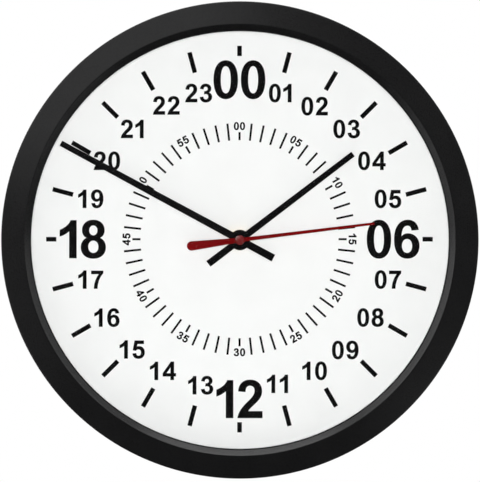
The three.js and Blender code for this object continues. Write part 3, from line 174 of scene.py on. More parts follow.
# Movement
TUB_CORNER = 3
WINDOW_LAP = 0.2
WINDOW_CORNER = 1
COVER_ROUND = 0.15
COVER_FRAME = 0.7
COVER_FRAME_HEIGHT = 0.4
KNOB_GUARD_GAP = 0.8
KNOB_GUARD_WALL = 1.0
KNOB_RIBS = 20
KNOB_RIB_HEIGHT = 0.45
KNOB_COLLAR = 2.4
KNOB_COLLAR_FOOT = 0.2
KNOB_RIM = 1.6
KNOB_ROUND = 0.35
KNOB_DISH_SHARE = 0.72
KNOB_LIP_SHARE = 0.76
SHAFT_RADIUS = 1.1
MARK_LENGTH = 3.4
MARK_WIDTH = 0.8
BATTERY_NUB = 2.7
BATTERY_NUB_LENGTH = 1.0
BATTERY_NUB_ROUND = 0.4
BATTERY_EDGE = 0.6
BATTERY_WRAP = 0.8
BATTERY_FOLD = 0.1
BATTERY_BASE_SINK = 0.25
BATTERY_BASE_ROUND = 0.2
BATTERY_GROOVE_WIDTH = 0.5
BATTERY_GROOVE_DEPTH = 0.5
BATTERY_STEP = 0.2
BATTERY_STEP_DEPTH = 0.3
BATTERY_STEP_ROUND = 0.15

# Printed dial
PRINT_SINK = 0.02
PRINT_HEIGHT = 0.05
PRINT_OFFSET = (-0.2, 0.5, 0)
HOURS = 24
MINUTES = 60
MINUTES_PER_NUMBER = 5
INK_SPREAD = 0.16
BATON_WIDTH = 3.4
BATON_INNER = 127.5
BATON_INNER_QUARTER = 135.5
BATON_OUTER = 143.1
STROKE_WIDTH = 1.55
STROKE_INNER = 73.3
STROKE_OUTER = 86.0
STROKE_OUTER_FIFTH = 79.3
MINUTE_NUMBER_RADIUS = 83.7
MINUTE_NUMBER_HEIGHT = 5.6
HOUR_NUMBER_HEIGHT = 13.36
HOUR_NUMBER_RADIUS = 114.1
HOUR_NUMBER_DROP = 2.9
HOUR_NUMBER_PULL = (0.8, 1.4)
HOUR_NUMBER_ASIDE = {
    1: (1.5, 0), 8: (-1, 0), 9: (-1, -0.5), 10: (0, 1),
    11: (-0.5, 1), 14: (-1, 1), 22: (1.5, 0.5), 23: (-1.5, 0),
}
QUARTER_HEIGHT = 27.9
QUARTER_RADII = {0: 118.0, 6: 113.8, 12: 118.4, 18: 115.9}
DIGIT_GAP = 0.139
DIGIT_GAP_AFTER_ONE = 0.26
QUARTER_GAP = 0.08
QUARTER_GAP_AFTER_ONE = 0.113

# Fineness
RING_SIDES = 240
SMALL_SIDES = 64
BOSS_SIDES = 32
HOLE_SIDES = 24
NUT_SIDES = 96
KNOB_RIB_SIDES = 12
CURVE_STEPS = 10
ROUND_STEPS = 4
DIGIT_STEPS = 8
EDGE_STEPS = 2
LARGEST_CUT_SHARE = 0.48
ROUND_MIDDLE_SHARE = 0.3
LEAST_MITRE = 0.5
SHARP_ANGLE = math.radians(32)
WELD_LENGTH = 0.0005
TINY = 1e-6

# Finishes
CLOUD_SCALE = 45.0
CLOUD_DETAIL = 3.0
GRAIN_DETAIL = 2.0
NOISE_LOW = 0.3
NOISE_HIGH = 0.7
FINE_GRAIN = 2600.0
MOULD_GRAIN = 1500.0
WIRE_GRAIN = 7000.0
BOARD_GRAIN = 900.0
RESIN_GRAIN = 400.0
FLOOR_GRAIN = 300.0
GLASS_GRAIN = 60.0
GLASS_TINT = (0.985, 0.995, 0.99, 1)
GLASS_ROUGHNESS = 0.015
GLASS_IOR = 1.06
EVEN = (1, 1, 1)
BRUSHED = (1, 1, 0.03)
WIRE_TURNS = (0.02, 0.02, 1)
WHITE = (1, 1, 1, 1)

# Stage, in metres; a lamp without gloss isn't mirrored, one without spread lights no matt surface
FLOOR_DROP = 0.48
FLOOR_RADIUS = 2.4
FLOOR_CLEAR = 0.3
FLOOR_FADED = 1.9
FLOOR_GLOW = 0.5
WORLD_LIGHT = 0.04
CAMERA_DISTANCE = 3.0
CAMERA_LENS = 300
CAMERA_SENSOR = 36
CAMERA_LEFT = math.radians(0.5)
CAMERA_ABOVE = math.radians(0.5)
CAMERA_SHIFT = (0.0010, -0.0029)
LAMPS = {
    "front": {"place": (-0.03, -3.4, 0.06), "size": 0.4, "power": 93, "gloss": False},
    "key": {"place": (-0.85, -1.9, 1.2), "size": 2.2, "power": 48, "spread": False},
    "top": {"place": (0, -0.15, 2.2), "size": 2.4, "power": 260, "spread": False},
    "left": {"place": (-1.95, -0.15, 1.1), "size": 2.4, "power": 170, "spread": False},
    "right": {"place": (1.9, -0.15, 1.05), "size": 2.4, "power": 105, "spread": False},
    "low_left": {"place": (-0.5, -0.07, -0.2), "size": 0.5, "power": 4.0, "spread": False},
    "low_right": {"place": (0.33, -0.09, -0.28), "size": 0.4, "power": 1.1, "spread": False},
    "back": {"place": (-1.0, 2.0, 1.4), "size": 1.6, "power": 36},
}


def reach(name):
    """Radius, back and front of a round node, in millimetres."""
    low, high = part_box(name)
    return max(high.x - low.x, high.z - low.z) / 2 / MM, -high.y / MM, -low.y / MM


def flat_box(name):
    """Left, bottom, right and top of a node, seen from the front, in millimetres."""
    low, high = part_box(name)
    return low.x / MM, (low.z - axis.z) / MM, high.x / MM, (high.z - axis.z) / MM


def grown(box, margin):
    """A flat box made larger on every side."""
    left, bottom, right, top = box
    return left - margin, bottom - margin, right + margin, top + margin


def middle(box):
    left, bottom, right, top = box
    return (left + right) / 2, (bottom + top) / 2


# Paths
def arc(centre, radius, start, end, steps=CURVE_STEPS):
    """Points of a circle between two angles in degrees."""
    angles = [math.radians(start + (end - start) * i / steps) for i in range(steps + 1)]
    return [(centre[0] + radius * math.cos(a), centre[1] + radius * math.sin(a)) for a in angles]


def bend(first, control, last, steps=CURVE_STEPS):
    """Points of a quadratic curve."""
    a, b, c = Vector(first), Vector(control), Vector(last)
    shares = [i / steps for i in range(steps + 1)]
    return [tuple(a * (1 - t) ** 2 + b * 2 * t * (1 - t) + c * t * t) for t in shares]


def soften(corners, closed=True):
    """A path whose corners (x, y, cut) are rounded from cut before the corner to cut after it."""
    made = []
    for i, corner in enumerate(corners):
        here = Vector(corner[:2])
        if len(corner) == 2 or not closed and i in (0, len(corners) - 1):
            made.append(tuple(here))
            continue
        start = Vector(corners[i - 1][:2]) - here
        end = Vector(corners[(i + 1) % len(corners)][:2]) - here
        cut = min(corner[2], LARGEST_CUT_SHARE * start.length, LARGEST_CUT_SHARE * end.length)
        made += bend(here + start.normalized() * cut, here, here + end.normalized() * cut, ROUND_STEPS)
    return made


def box_outline(left, bottom, right, top):
    return [(left, bottom), (right, bottom), (right, top), (left, top)]


def rounded_box(left, bottom, right, top, corner):
    return [
        *arc((right - corner, top - corner), corner, 0, 90),
        *arc((left + corner, top - corner), corner, 90, 180),
        *arc((left + corner, bottom + corner), corner, 180, 270),
        *arc((right - corner, bottom + corner), corner, 270, 360),
    ]


def circle(centre, radius, sides=SMALL_SIDES):
    return arc(centre, radius, 0, 360, sides)[:-1]


def turn_points(points, degrees):
    """Points turned clockwise about the axis."""
    c, s = math.cos(math.radians(degrees)), math.sin(math.radians(degrees))
    return [(x * c + y * s, y * c - x * s) for x, y in points]


def plus_outline(reach_out, half):
    """A plus sign from the length and half width of its arms."""
    corner = [(reach_out, -half), (reach_out, half), (half, half)]
    return [point for quarter in range(4) for point in turn_points(corner, -90 * quarter)]


def thread(core, crest, start, end, pitch, root_share):
    """Profile of a thread's turns, each with a flat root at both ends."""
    made = []
    for i in range(int((end - start) / pitch)):
        foot = start + i * pitch
        made += [(core, foot + root_share * pitch), (crest, foot + pitch / 2),
                 (core, foot + (1 - root_share) * pitch)]
    return made


# Shapes, each a pair of corners and faces
def lathe(profile, sides=RING_SIDES):
    """Anticlockwise (radius, height) points turned about the axis; a point may be a function of the angle."""
    corners, rings, faces = [], [], []
    for point in profile:
        place = point if callable(point) else lambda angle, fixed=point: fixed
        count = 1 if not callable(point) and point[0] < TINY else sides
        rings.append([len(corners) + i for i in range(count)])
        for i in range(count):
            angle = 2 * math.pi * i / sides
            radius, height = place(angle)
            corners.append((radius * math.cos(angle), radius * math.sin(angle), height))
    closed = len(rings[0]) > 1
    for k in range(len(rings) if closed else len(rings) - 1):
        low, high = rings[k], rings[(k + 1) % len(rings)]
        for i in range(sides):
            j = (i + 1) % sides
            if len(low) == 1:
                faces.append((low[0], high[j], high[i]))
            elif len(high) == 1:
                faces.append((low[i], low[j], high[0]))
            else:
                faces.append((low[i], low[j], high[j], high[i]))
    return corners, faces


def post(radius, back, front, sides):
    """A round post on the axis."""
    return lathe([(0, back), (radius, back), (radius, front), (0, front)], sides)


def signed_area(loop):
    pairs = zip(loop, loop[1:] + loop[:1])
    return sum(a[0] * b[1] - b[0] * a[1] for a, b in pairs) / 2


def wound(contours):
    """Contours with the outline anticlockwise and the holes clockwise."""
    loops = []
    for i, contour in enumerate(contours):
        anticlockwise = signed_area(contour) > 0
        loops.append(list(contour) if anticlockwise == (i == 0) else list(reversed(contour)))
    return loops


def fill(loops):
    """Anticlockwise triangles inside an outline and outside its holes."""
    flat = [point for loop in loops for point in loop]
    faces = []
    for a, b, c in tessellate_polygon([[Vector((x, y, 0)) for x, y in loop] for loop in loops]):
        upright = signed_area([flat[a], flat[b], flat[c]]) > 0
        faces.append((a, b, c) if upright else (a, c, b))
    return faces


def stack(levels):
    """Plate through contours of equal counts at rising heights; the first contour is the outline."""
    layers = [wound(contours) for height, contours in levels]
    corners = [(x, y, level[0]) for level, loops in zip(levels, layers) for loop in loops for x, y in loop]
    count = len(corners) // len(levels)
    top = len(corners) - count
    faces = [tuple(reversed(face)) for face in fill(layers[0])]
    faces += [tuple(top + i for i in face) for face in fill(layers[-1])]
    start = 0
    for loops in layers[:-1]:
        for loop in loops:
            for i in range(len(loop)):
                a, b = start + i, start + (i + 1) % len(loop)
                faces.append((a, b, b + count, a + count))
            start += len(loop)
    return corners, faces


def prism(contours, back, front):
    """Plate between two heights; the first contour is its outline and the others are holes."""
    return stack([(back, contours), (front, contours)])


def rounded_plate(contours_at, back, front, width):
    """Plate with rounded edges from a function that gives its contours at an inset."""
    turns = [math.pi / 2 * i / EDGE_STEPS for i in range(EDGE_STEPS + 1)]
    edge = [(width * (1 - math.cos(turn)), contours_at(width * (1 - math.sin(turn)))) for turn in turns]
    lower = [(back + rise, contours) for rise, contours in edge]
    upper = [(front - rise, contours) for rise, contours in reversed(edge)]
    return stack(lower + upper)


def moved(shape, matrix):
    return [tuple(matrix @ Vector(corner)) for corner in shape[0]], shape[1]


def merged(*shapes):
    corners, faces = [], []
    for shape in shapes:
        start = len(corners)
        corners += shape[0]
        faces += [tuple(start + i for i in face) for face in shape[1]]
    return corners, faces


def round_the_axis(shape, count, first):
    """Copies of a shape, evenly spaced round the axis from a first angle in degrees."""
    turns = [math.radians(first + 360 * i / count) for i in range(count)]
    return merged(*(moved(shape, Matrix.Rotation(turn, 4, "Z")) for turn in turns))


# Objects
def new_object(name, data):
    made = bpy.data.objects.new(name, data)
    bpy.context.scene.collection.objects.link(made)
    return made


def solid(name, shape):
    mesh = bpy.data.meshes.new(name)
    mesh.from_pydata(shape[0], [], shape[1])
    mesh.update()
    return new_object(name, mesh)


def settle(made):
    """Turns an object's modifiers into its mesh."""
    graph = bpy.context.evaluated_depsgraph_get()
    mesh = bpy.data.meshes.new_from_object(made.evaluated_get(graph))
    made.modifiers.clear()
    made.data = mesh


def weld(made):
    """Closes up the faces without area that a join leaves along its seams."""
    mesh = bmesh.new()
    mesh.from_mesh(made.data)
    bmesh.ops.remove_doubles(mesh, verts=mesh.verts, dist=WELD_LENGTH)
    bmesh.ops.dissolve_degenerate(mesh, edges=mesh.edges, dist=WELD_LENGTH)
    mesh.to_mesh(made.data)
    mesh.free()


def combine(made, operation, *shapes):
    """Joins shapes to an object or cuts them from it, one after the other."""
    others = [solid("operand", shape) for shape in shapes]
    for other in others:
        modifier = made.modifiers.new("combine", "BOOLEAN")
        modifier.operation = operation
        modifier.solver = "MANIFOLD"
        modifier.object = other
    settle(made)
    weld(made)
    for other in others:
        bpy.data.objects.remove(other)


def soft_edges(made, width):
    modifier = made.modifiers.new("edges", "BEVEL")
    modifier.width = width
    modifier.segments = EDGE_STEPS
    modifier.limit_method = "ANGLE"
    modifier.angle_limit = SHARP_ANGLE
    modifier.use_clamp_overlap = False
    settle(made)


def moulded(shape):
    """A shape with its edges rounded as a mould leaves them."""
    made = solid("moulded", shape)
    soft_edges(made, MOULD_ROUND)
    mesh = made.data
    rounded = [tuple(v.co) for v in mesh.vertices], [tuple(face.vertices) for face in mesh.polygons]
    bpy.data.objects.remove(made)
    return rounded


def dress(made, body, slot, look, *nodes):
    """Places an object in the shared frame, on its body, with its finish."""
    made.data.transform(TO_FRAME)
    made.data.shade_smooth()
    made.data.set_sharp_from_angle(angle=SHARP_ANGLE)
    made.data.materials.clear()
    made.data.materials.append(look)
    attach(made, body)
    if nodes:
        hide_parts(*nodes)


# Materials
def new_look(name):
    look = bpy.data.materials.new(name)
    look.use_nodes = True
    return look


def shader_of(look):
    return look.node_tree.nodes["Principled BSDF"]


def give(made, **values):
    """Sets inputs of a shader node; an underline in a name stands for a space."""
    for name, value in values.items():
        made.inputs[name.replace("_", " ")].default_value = value


def node(look, kind, **values):
    made = look.node_tree.nodes.new(kind)
    give(made, **values)
    return made


def join(look, output, target):
    look.node_tree.links.new(output, target)


def grain(look, scale, detail=GRAIN_DETAIL, stretch=EVEN):
    """Noise over the piece's own coordinates, finer with scale, drawn out where stretch is small."""
    place = node(look, "ShaderNodeTexCoord")
    mapping = node(look, "ShaderNodeMapping", Scale=stretch)
    noise = node(look, "ShaderNodeTexNoise", Scale=scale, Detail=detail)
    join(look, place.outputs["Object"], mapping.inputs["Vector"])
    join(look, mapping.outputs["Vector"], noise.inputs["Vector"])
    return noise.outputs["Fac"]


def between(look, factor, low, high):
    """A number that goes from low to high with the noise."""
    span = node(look, "ShaderNodeMapRange", From_Min=NOISE_LOW, From_Max=NOISE_HIGH, To_Min=low, To_Max=high)
    join(look, factor, span.inputs["Value"])
    return span.outputs["Result"]


def shade(look, factor, first, second):
    """A colour that goes from the first to the second with the factor."""
    ramp = node(look, "ShaderNodeValToRGB")
    for stop, position, colour in zip(ramp.color_ramp.elements, (NOISE_LOW, NOISE_HIGH), (first, second)):
        stop.position = position
        stop.color = (*colour, 1)
    join(look, factor, ramp.inputs["Fac"])
    return ramp.outputs["Color"]


def relief(look, height, depth):
    bump = node(look, "ShaderNodeBump", Strength=1.0, Distance=depth)
    join(look, height, bump.inputs["Height"])
    join(look, bump.outputs["Normal"], shader_of(look).inputs["Normal"])


def finish(name, dark, light, roughness, texture, depth, metallic=0.0, specular=0.5, stretch=EVEN):
    """A surface with clouded colour, uneven gloss and a fine relief; texture is the relief's scale."""
    look = new_look(name)
    shader = shader_of(look)
    give(shader, Metallic=metallic, Specular_IOR_Level=specular)
    clouds = grain(look, CLOUD_SCALE, CLOUD_DETAIL, stretch)
    fine = grain(look, texture, GRAIN_DETAIL, stretch)
    join(look, shade(look, clouds, dark, light), shader.inputs["Base Color"])
    join(look, between(look, fine, roughness[0], roughness[1]), shader.inputs["Roughness"])
    relief(look, fine, depth)
    return look


def mixed(look, factor, first, second):
    """A shader that goes from the first to the second with the factor."""
    mix = node(look, "ShaderNodeMixShader")
    for target, source in zip(mix.inputs, (factor, first, second)):
        join(look, source, target)
    return mix.outputs["Shader"]


def worked_out(look, operation, first, second):
    """A number from two others."""
    made = node(look, "ShaderNodeMath")
    made.operation = operation
    join(look, first, made.inputs[0])
    join(look, second, made.inputs[1])
    return made.outputs["Value"]


def glass_look():
    """Clear sheet that lets the light through to the dial without a shadow."""
    look = new_look("clear_glass")
    shader = shader_of(look)
    give(shader, Base_Color=GLASS_TINT, Transmission_Weight=1.0, IOR=GLASS_IOR)
    join(look, between(look, grain(look, GLASS_GRAIN), 0.0, GLASS_ROUGHNESS), shader.inputs["Roughness"])
    path = node(look, "ShaderNodeLightPath")
    clear = node(look, "ShaderNodeBsdfTransparent")
    surface = shader.outputs["BSDF"]
    for ray in ("Is Diffuse Ray", "Is Shadow Ray"):
        surface = mixed(look, path.outputs[ray], surface, clear.outputs["BSDF"])
    join(look, surface, look.node_tree.nodes["Material Output"].inputs["Surface"])
    return look


case_black = finish("case_black", (0.0025, 0.0025, 0.0027), (0.004, 0.004, 0.0042), (0.25, 0.32),
                    MOULD_GRAIN, 0.00002, specular=0.07)
pan_black = finish("pan_black", (0.013, 0.013, 0.0135), (0.02, 0.02, 0.0205), (0.42, 0.55),
                   MOULD_GRAIN, 0.00003, specular=0.4)
housing_black = finish("housing_black", (0.010, 0.010, 0.011), (0.015, 0.015, 0.016), (0.45, 0.6),
                       MOULD_GRAIN, 0.00002, specular=0.3)
dial_white = finish("dial_white", (0.885, 0.885, 0.88), (0.91, 0.91, 0.905), (0.5, 0.6),
                    FINE_GRAIN, 0.000004, specular=0.05)
print_black = finish("print_black", (0.0025, 0.0025, 0.0025), (0.004, 0.004, 0.004), (0.55, 0.7),
                     FINE_GRAIN, 0.000003, specular=0.01)
hand_black = finish("hand_black", (0.0025, 0.0025, 0.0027), (0.004, 0.004, 0.0042), (0.42, 0.5),
                    FINE_GRAIN, 0.000003, specular=0.01)
hand_red = finish("hand_red", (0.14, 0.002, 0.0025), (0.18, 0.003, 0.004), (0.35, 0.45),
                  FINE_GRAIN, 0.000003, specular=0.02)
cap_red = finish("cap_red", (0.12, 0.002, 0.0025), (0.15, 0.003, 0.004), (0.14, 0.2),
                 FINE_GRAIN, 0.000002, specular=0.2)
brass = finish("brass", (0.66, 0.45, 0.16), (0.76, 0.55, 0.22), (0.22, 0.36),
               MOULD_GRAIN, 0.00001, metallic=1.0, stretch=BRUSHED)
steel = finish("steel", (0.52, 0.53, 0.54), (0.62, 0.63, 0.64), (0.25, 0.4),
               MOULD_GRAIN, 0.00001, metallic=1.0, stretch=BRUSHED)
copper = finish("copper", (0.45, 0.16, 0.06), (0.66, 0.27, 0.12), (0.25, 0.4),
                WIRE_GRAIN, 0.00006, metallic=1.0, stretch=WIRE_TURNS)
gear_plastic = finish("gear_plastic", (0.70, 0.67, 0.58), (0.80, 0.77, 0.68), (0.35, 0.5),
                      FINE_GRAIN, 0.000008, specular=0.4)
board_green = finish("board_green", (0.018, 0.085, 0.028), (0.035, 0.13, 0.045), (0.3, 0.5),
                     BOARD_GRAIN, 0.00003, specular=0.45)
resin = finish("resin", (0.006, 0.006, 0.006), (0.010, 0.010, 0.010), (0.12, 0.25),
               RESIN_GRAIN, 0.00004, specular=0.5)
ferrite = finish("ferrite", (0.045, 0.045, 0.05), (0.07, 0.07, 0.075), (0.55, 0.75),
                 MOULD_GRAIN, 0.00004, metallic=0.3)
rubber = finish("rubber", (0.014, 0.014, 0.014), (0.022, 0.022, 0.022), (0.7, 0.85),
                MOULD_GRAIN, 0.00003, specular=0.3)
cell_wrap = finish("cell_wrap", (0.045, 0.075, 0.115), (0.055, 0.09, 0.135), (0.25, 0.34),
                   FINE_GRAIN, 0.000005, specular=0.5)
clear_glass = glass_look()


# Levels and radii that several pieces share
case_radius, bezel_back, ridge_height = reach("bezel_ring")
lens_radius, lens_back, lens_front = reach("lens")
dial_radius, dial_back, dial_front = reach("dial")
flange_radius, wall_face, spacer_front = reach("back_pan")
floor_front = dial_back - SEAT_GAP
floor_back = floor_front - FLOOR_THICKNESS
floor_middle = floor_front - FLOOR_THICKNESS / 2
dish_front = lens_radius - DISH_STEP - DISH_WALL
dish_back = dish_front - DISH_DRAFT
skirt_inner = lens_radius + CASE_GAP
skirt_outer = skirt_inner + SKIRT_WALL
screw_circle = (skirt_outer + flange_radius) / 2
lip_back = lens_front + CASE_GAP
lip_front = lip_back + LIP_THICKNESS


# Case
def at_screws(shape):
    """Copies of a shape at the places of the case screws."""
    out = Matrix.Translation((screw_circle, 0, 0))
    return round_the_axis(moved(shape, out), SCREW_COUNT, SCREW_FIRST_ANGLE)


def hold(first, last):
    """Two points near the ends of a straight, which keep its shading flat."""
    start, end = Vector(first), Vector(last)
    margin = (end - start).normalized() * FLAT_MARGIN
    return [tuple(start + margin), tuple(end - margin)]


def bezel_section():
    side = case_radius - SIDE_DRAFT
    foot = (case_radius, bezel_back)
    shoulder = (side, ridge_height - BAND_FALL - EDGE_FALL)
    band_edge = (case_radius - EDGE_WIDTH, ridge_height - BAND_FALL)
    apex = (OPENING_RADIUS + BEVEL_WIDTH, ridge_height + RIDGE_CROWN)
    land = lip_front + (apex[1] - lip_front) * LAND_WIDTH / BEVEL_WIDTH
    lip = (OPENING_RADIUS + LAND_WIDTH, land)
    skirt_back = lip_back - SKIRT_DEPTH
    underside = band_edge[1] - CASE_WALL
    return soften([
        (*foot, MOULD_ROUND),
        *hold(foot, shoulder),
        *bend(shoulder, (side, band_edge[1] - EDGE_SHOULDER), band_edge),
        *hold(band_edge, apex),
        (*apex, RIDGE_ROUND),
        *hold(apex, lip),
        lip,
        (OPENING_RADIUS, land, LIP_ROUND),
        (OPENING_RADIUS, lip_back, LIP_ROUND),
        (skirt_inner, lip_back),
        (skirt_inner, skirt_back, MOULD_ROUND),
        (skirt_outer, skirt_back, MOULD_ROUND),
        (skirt_outer, underside),
        (side - CASE_WALL, underside),
        (case_radius - CASE_WALL, bezel_back, MOULD_ROUND),
    ])


def bezel_ring():
    boss_front = ridge_height - BAND_FALL - CASE_WALL / 2
    boss = post(BOSS_RADIUS, BOSS_BACK, boss_front, BOSS_SIDES)
    hole = post(SCREW_SHANK_RADIUS - THREAD_DEPTH, 0, boss_front - CASE_WALL, HOLE_SIDES)
    half = GUSSET_THICKNESS / 2
    length = case_radius - CASE_WALL - screw_circle
    gusset = prism([box_outline(0, -half, length, half)], BOSS_BACK, ridge_height - BAND_FALL - EDGE_FALL)
    made = solid("bezel_ring_look", lathe(bezel_section()))
    combine(made, "UNION", at_screws(boss), at_screws(gusset))
    combine(made, "DIFFERENCE", at_screws(hole))
    dress(made, "case", "black_plastic", case_black, "bezel_ring")


def lens():
    made = solid("lens_look", lathe(soften([
        (0, lens_back),
        (lens_radius, lens_back, LIP_ROUND),
        (lens_radius, lens_front, LIP_ROUND),
        (0, lens_front),
    ], closed=False)))
    dress(made, "case", "glass", clear_glass, "lens")


def dial():
    hole = BUSH_RADIUS + CASE_GAP
    made = solid("dial_look", lathe(soften([
        (hole, dial_back),
        (dial_radius, dial_back),
        (dial_radius, dial_front, SEAT_GAP),
        (hole, dial_front, SEAT_GAP),
    ])))
    dress(made, "case", "dial_white", dial_white, "dial")


def pan_section():
    return soften([
        (BUSH_RADIUS + CASE_GAP, floor_back),
        (dish_front, floor_back, 2 * MOULD_ROUND),
        (dish_back, wall_face, 2 * MOULD_ROUND),
        (flange_radius, wall_face, MOULD_ROUND),
        (flange_radius, wall_face + FLANGE_THICKNESS, MOULD_ROUND),
        (dish_back + DISH_WALL, wall_face + FLANGE_THICKNESS, 2 * MOULD_ROUND),
        (dish_front + DISH_WALL, floor_back),
        (lens_radius, floor_back, MOULD_ROUND),
        (lens_radius, spacer_front, MOULD_ROUND),
        (lens_radius - SPACER_WALL, spacer_front, MOULD_ROUND),
        (lens_radius - SPACER_WALL, floor_front),
        (BUSH_RADIUS + CASE_GAP, floor_front),
    ])


def movement_well(room):
    """Wall round the room of the movement."""
    outline = rounded_box(*grown(room, WELL_WALL), WELL_CORNER + WELL_WALL)
    return moulded(prism([outline, rounded_box(*room, WELL_CORNER)], floor_back - WELL_DEPTH, floor_middle))


def pan_ribs(room):
    """Ribs from the wall of the well to the wall of the dish."""
    half_width, half_height = room[2] + WELL_WALL / 2, room[3] + WELL_WALL / 2
    end = dish_front + (DISH_WALL - DISH_DRAFT * RIB_DEPTH / floor_back) / 2
    half = RIB_THICKNESS / 2
    ribs = []
    for i in range(RIB_COUNT):
        angle = 2 * math.pi * (i + 0.5) / RIB_COUNT
        start = 1 / max(abs(math.cos(angle)) / half_width, abs(math.sin(angle)) / half_height)
        outline = box_outline(start, -half, end, half)
        rib = moulded(prism([outline], floor_back - RIB_DEPTH, floor_middle))
        ribs.append(moved(rib, Matrix.Rotation(angle, 4, "Z")))
    return merged(*ribs)


def screw_cups():
    """The cups that take the screw heads, and the holes in them."""
    cup_floor = SCREW_SINK + SCREW_HEAD_HEIGHT + CASE_GAP
    cup_radius = SCREW_HEAD_RADIUS + CASE_GAP
    cup_front = cup_floor + CUP_FLOOR
    inside_flange = wall_face + FLANGE_THICKNESS / 2
    shank = SCREW_SHANK_RADIUS + CASE_GAP
    cup = lathe(soften([
        (0, inside_flange),
        (cup_radius + CUP_WALL, inside_flange),
        (cup_radius + CUP_WALL, cup_front, MOULD_ROUND),
        (0, cup_front),
    ], closed=False), SMALL_SIDES)
    hole = lathe([
        (0, -CUT_CLEAR),
        (cup_radius + MOULD_ROUND, -CUT_CLEAR),
        (cup_radius, MOULD_ROUND),
        (cup_radius, cup_floor),
        (shank, cup_floor),
        (shank, cup_front + CUT_CLEAR),
        (0, cup_front + CUT_CLEAR),
    ], SMALL_SIDES)
    return at_screws(cup), at_screws(hole)


def hanger():
    """The tower of the keyhole, the room for the wall screw's head inside it, and the keyhole."""
    hang = dish_back - HANG_MARGIN
    entry = hang - KEYHOLE_DROP
    half = KEYHOLE_ENTRY_RADIUS + HANGER_HEADROOM
    wide = half + HANGER_WALL
    tower = moulded(prism([box_outline(-wide, entry - wide, wide, dish_front + DISH_WALL / 2)],
                          wall_face + TOWER_SINK, floor_middle))
    head_room = prism([box_outline(-half, entry - half, half, hang + HANGER_HEADROOM)],
                      HANGER_PLATE, floor_front + CUT_CLEAR)
    slot_half = KEYHOLE_SLOT_WIDTH / 2
    meet = math.degrees(math.asin(slot_half / KEYHOLE_ENTRY_RADIUS))
    keyhole = prism([[*arc((0, hang), slot_half, 0, 180),
                      *arc((0, entry), KEYHOLE_ENTRY_RADIUS, 90 + meet, 450 - meet, 4 * CURVE_STEPS)]],
                    -CUT_CLEAR, HANGER_PLATE + CUT_CLEAR)
    return tower, head_room, keyhole


def back_pan():
    room = grown(flat_box("movement_case"), CASE_GAP)
    cups, cup_holes = screw_cups()
    tower, head_room, keyhole = hanger()
    made = solid("back_pan_look", lathe(pan_section()))
    combine(made, "UNION", movement_well(room), pan_ribs(room), cups, tower)
    combine(made, "DIFFERENCE", cup_holes, head_room, keyhole)
    dress(made, "case", "black_plastic", pan_black, "back_pan")


def case_screws():
    head_front = SCREW_SINK + SCREW_HEAD_HEIGHT
    tip = reach("case_screw_1")[2]
    core = SCREW_SHANK_RADIUS - THREAD_DEPTH
    made = solid("case_screw", lathe(soften([
        (0, SCREW_SINK),
        (SCREW_CROWN_RADIUS, SCREW_SINK, SCREW_CROWN_ROUND),
        (SCREW_HEAD_RADIUS, SCREW_SINK + SCREW_CROWN_HEIGHT, SCREW_SHOULDER_ROUND),
        (SCREW_HEAD_RADIUS, head_front, SCREW_RIM_ROUND),
        (core, head_front),
        *thread(core, SCREW_SHANK_RADIUS, head_front, tip - SCREW_POINT, SCREW_PITCH, SCREW_ROOT_SHARE),
        (0, tip),
    ], closed=False), SMALL_SIDES))
    cross = turn_points(plus_outline(RECESS_LENGTH / 2, RECESS_WIDTH / 2), RECESS_TURN)
    combine(made, "DIFFERENCE", prism([cross], SCREW_SINK - CUT_CLEAR, SCREW_SINK + RECESS_DEPTH))
    for i in range(SCREW_COUNT):
        name = f"case_screw_{i + 1}"
        copy = new_object(f"case_screw_look_{i + 1}", made.data.copy())
        copy.data.transform(Matrix.Translation((*middle(flat_box(name)), 0)))
        dress(copy, "case", "steel", steel, name)
    bpy.data.objects.remove(made)


# Numerals: outlines of unit height, where a pair is a corner and six numbers are a curve to a new corner
def oval(centre, half_width, half_height, fullness):
    x, y = centre
    a, b = half_width * fullness, half_height * fullness
    right, left = x + half_width, x - half_width
    top, bottom = y + half_height, y - half_height
    return [(x, top), (x + a, top, right, y + b, right, y), (right, y - b, x + a, bottom, x, bottom),
            (x - a, bottom, left, y - b, left, y), (left, y + b, x - a, top, x, top)]


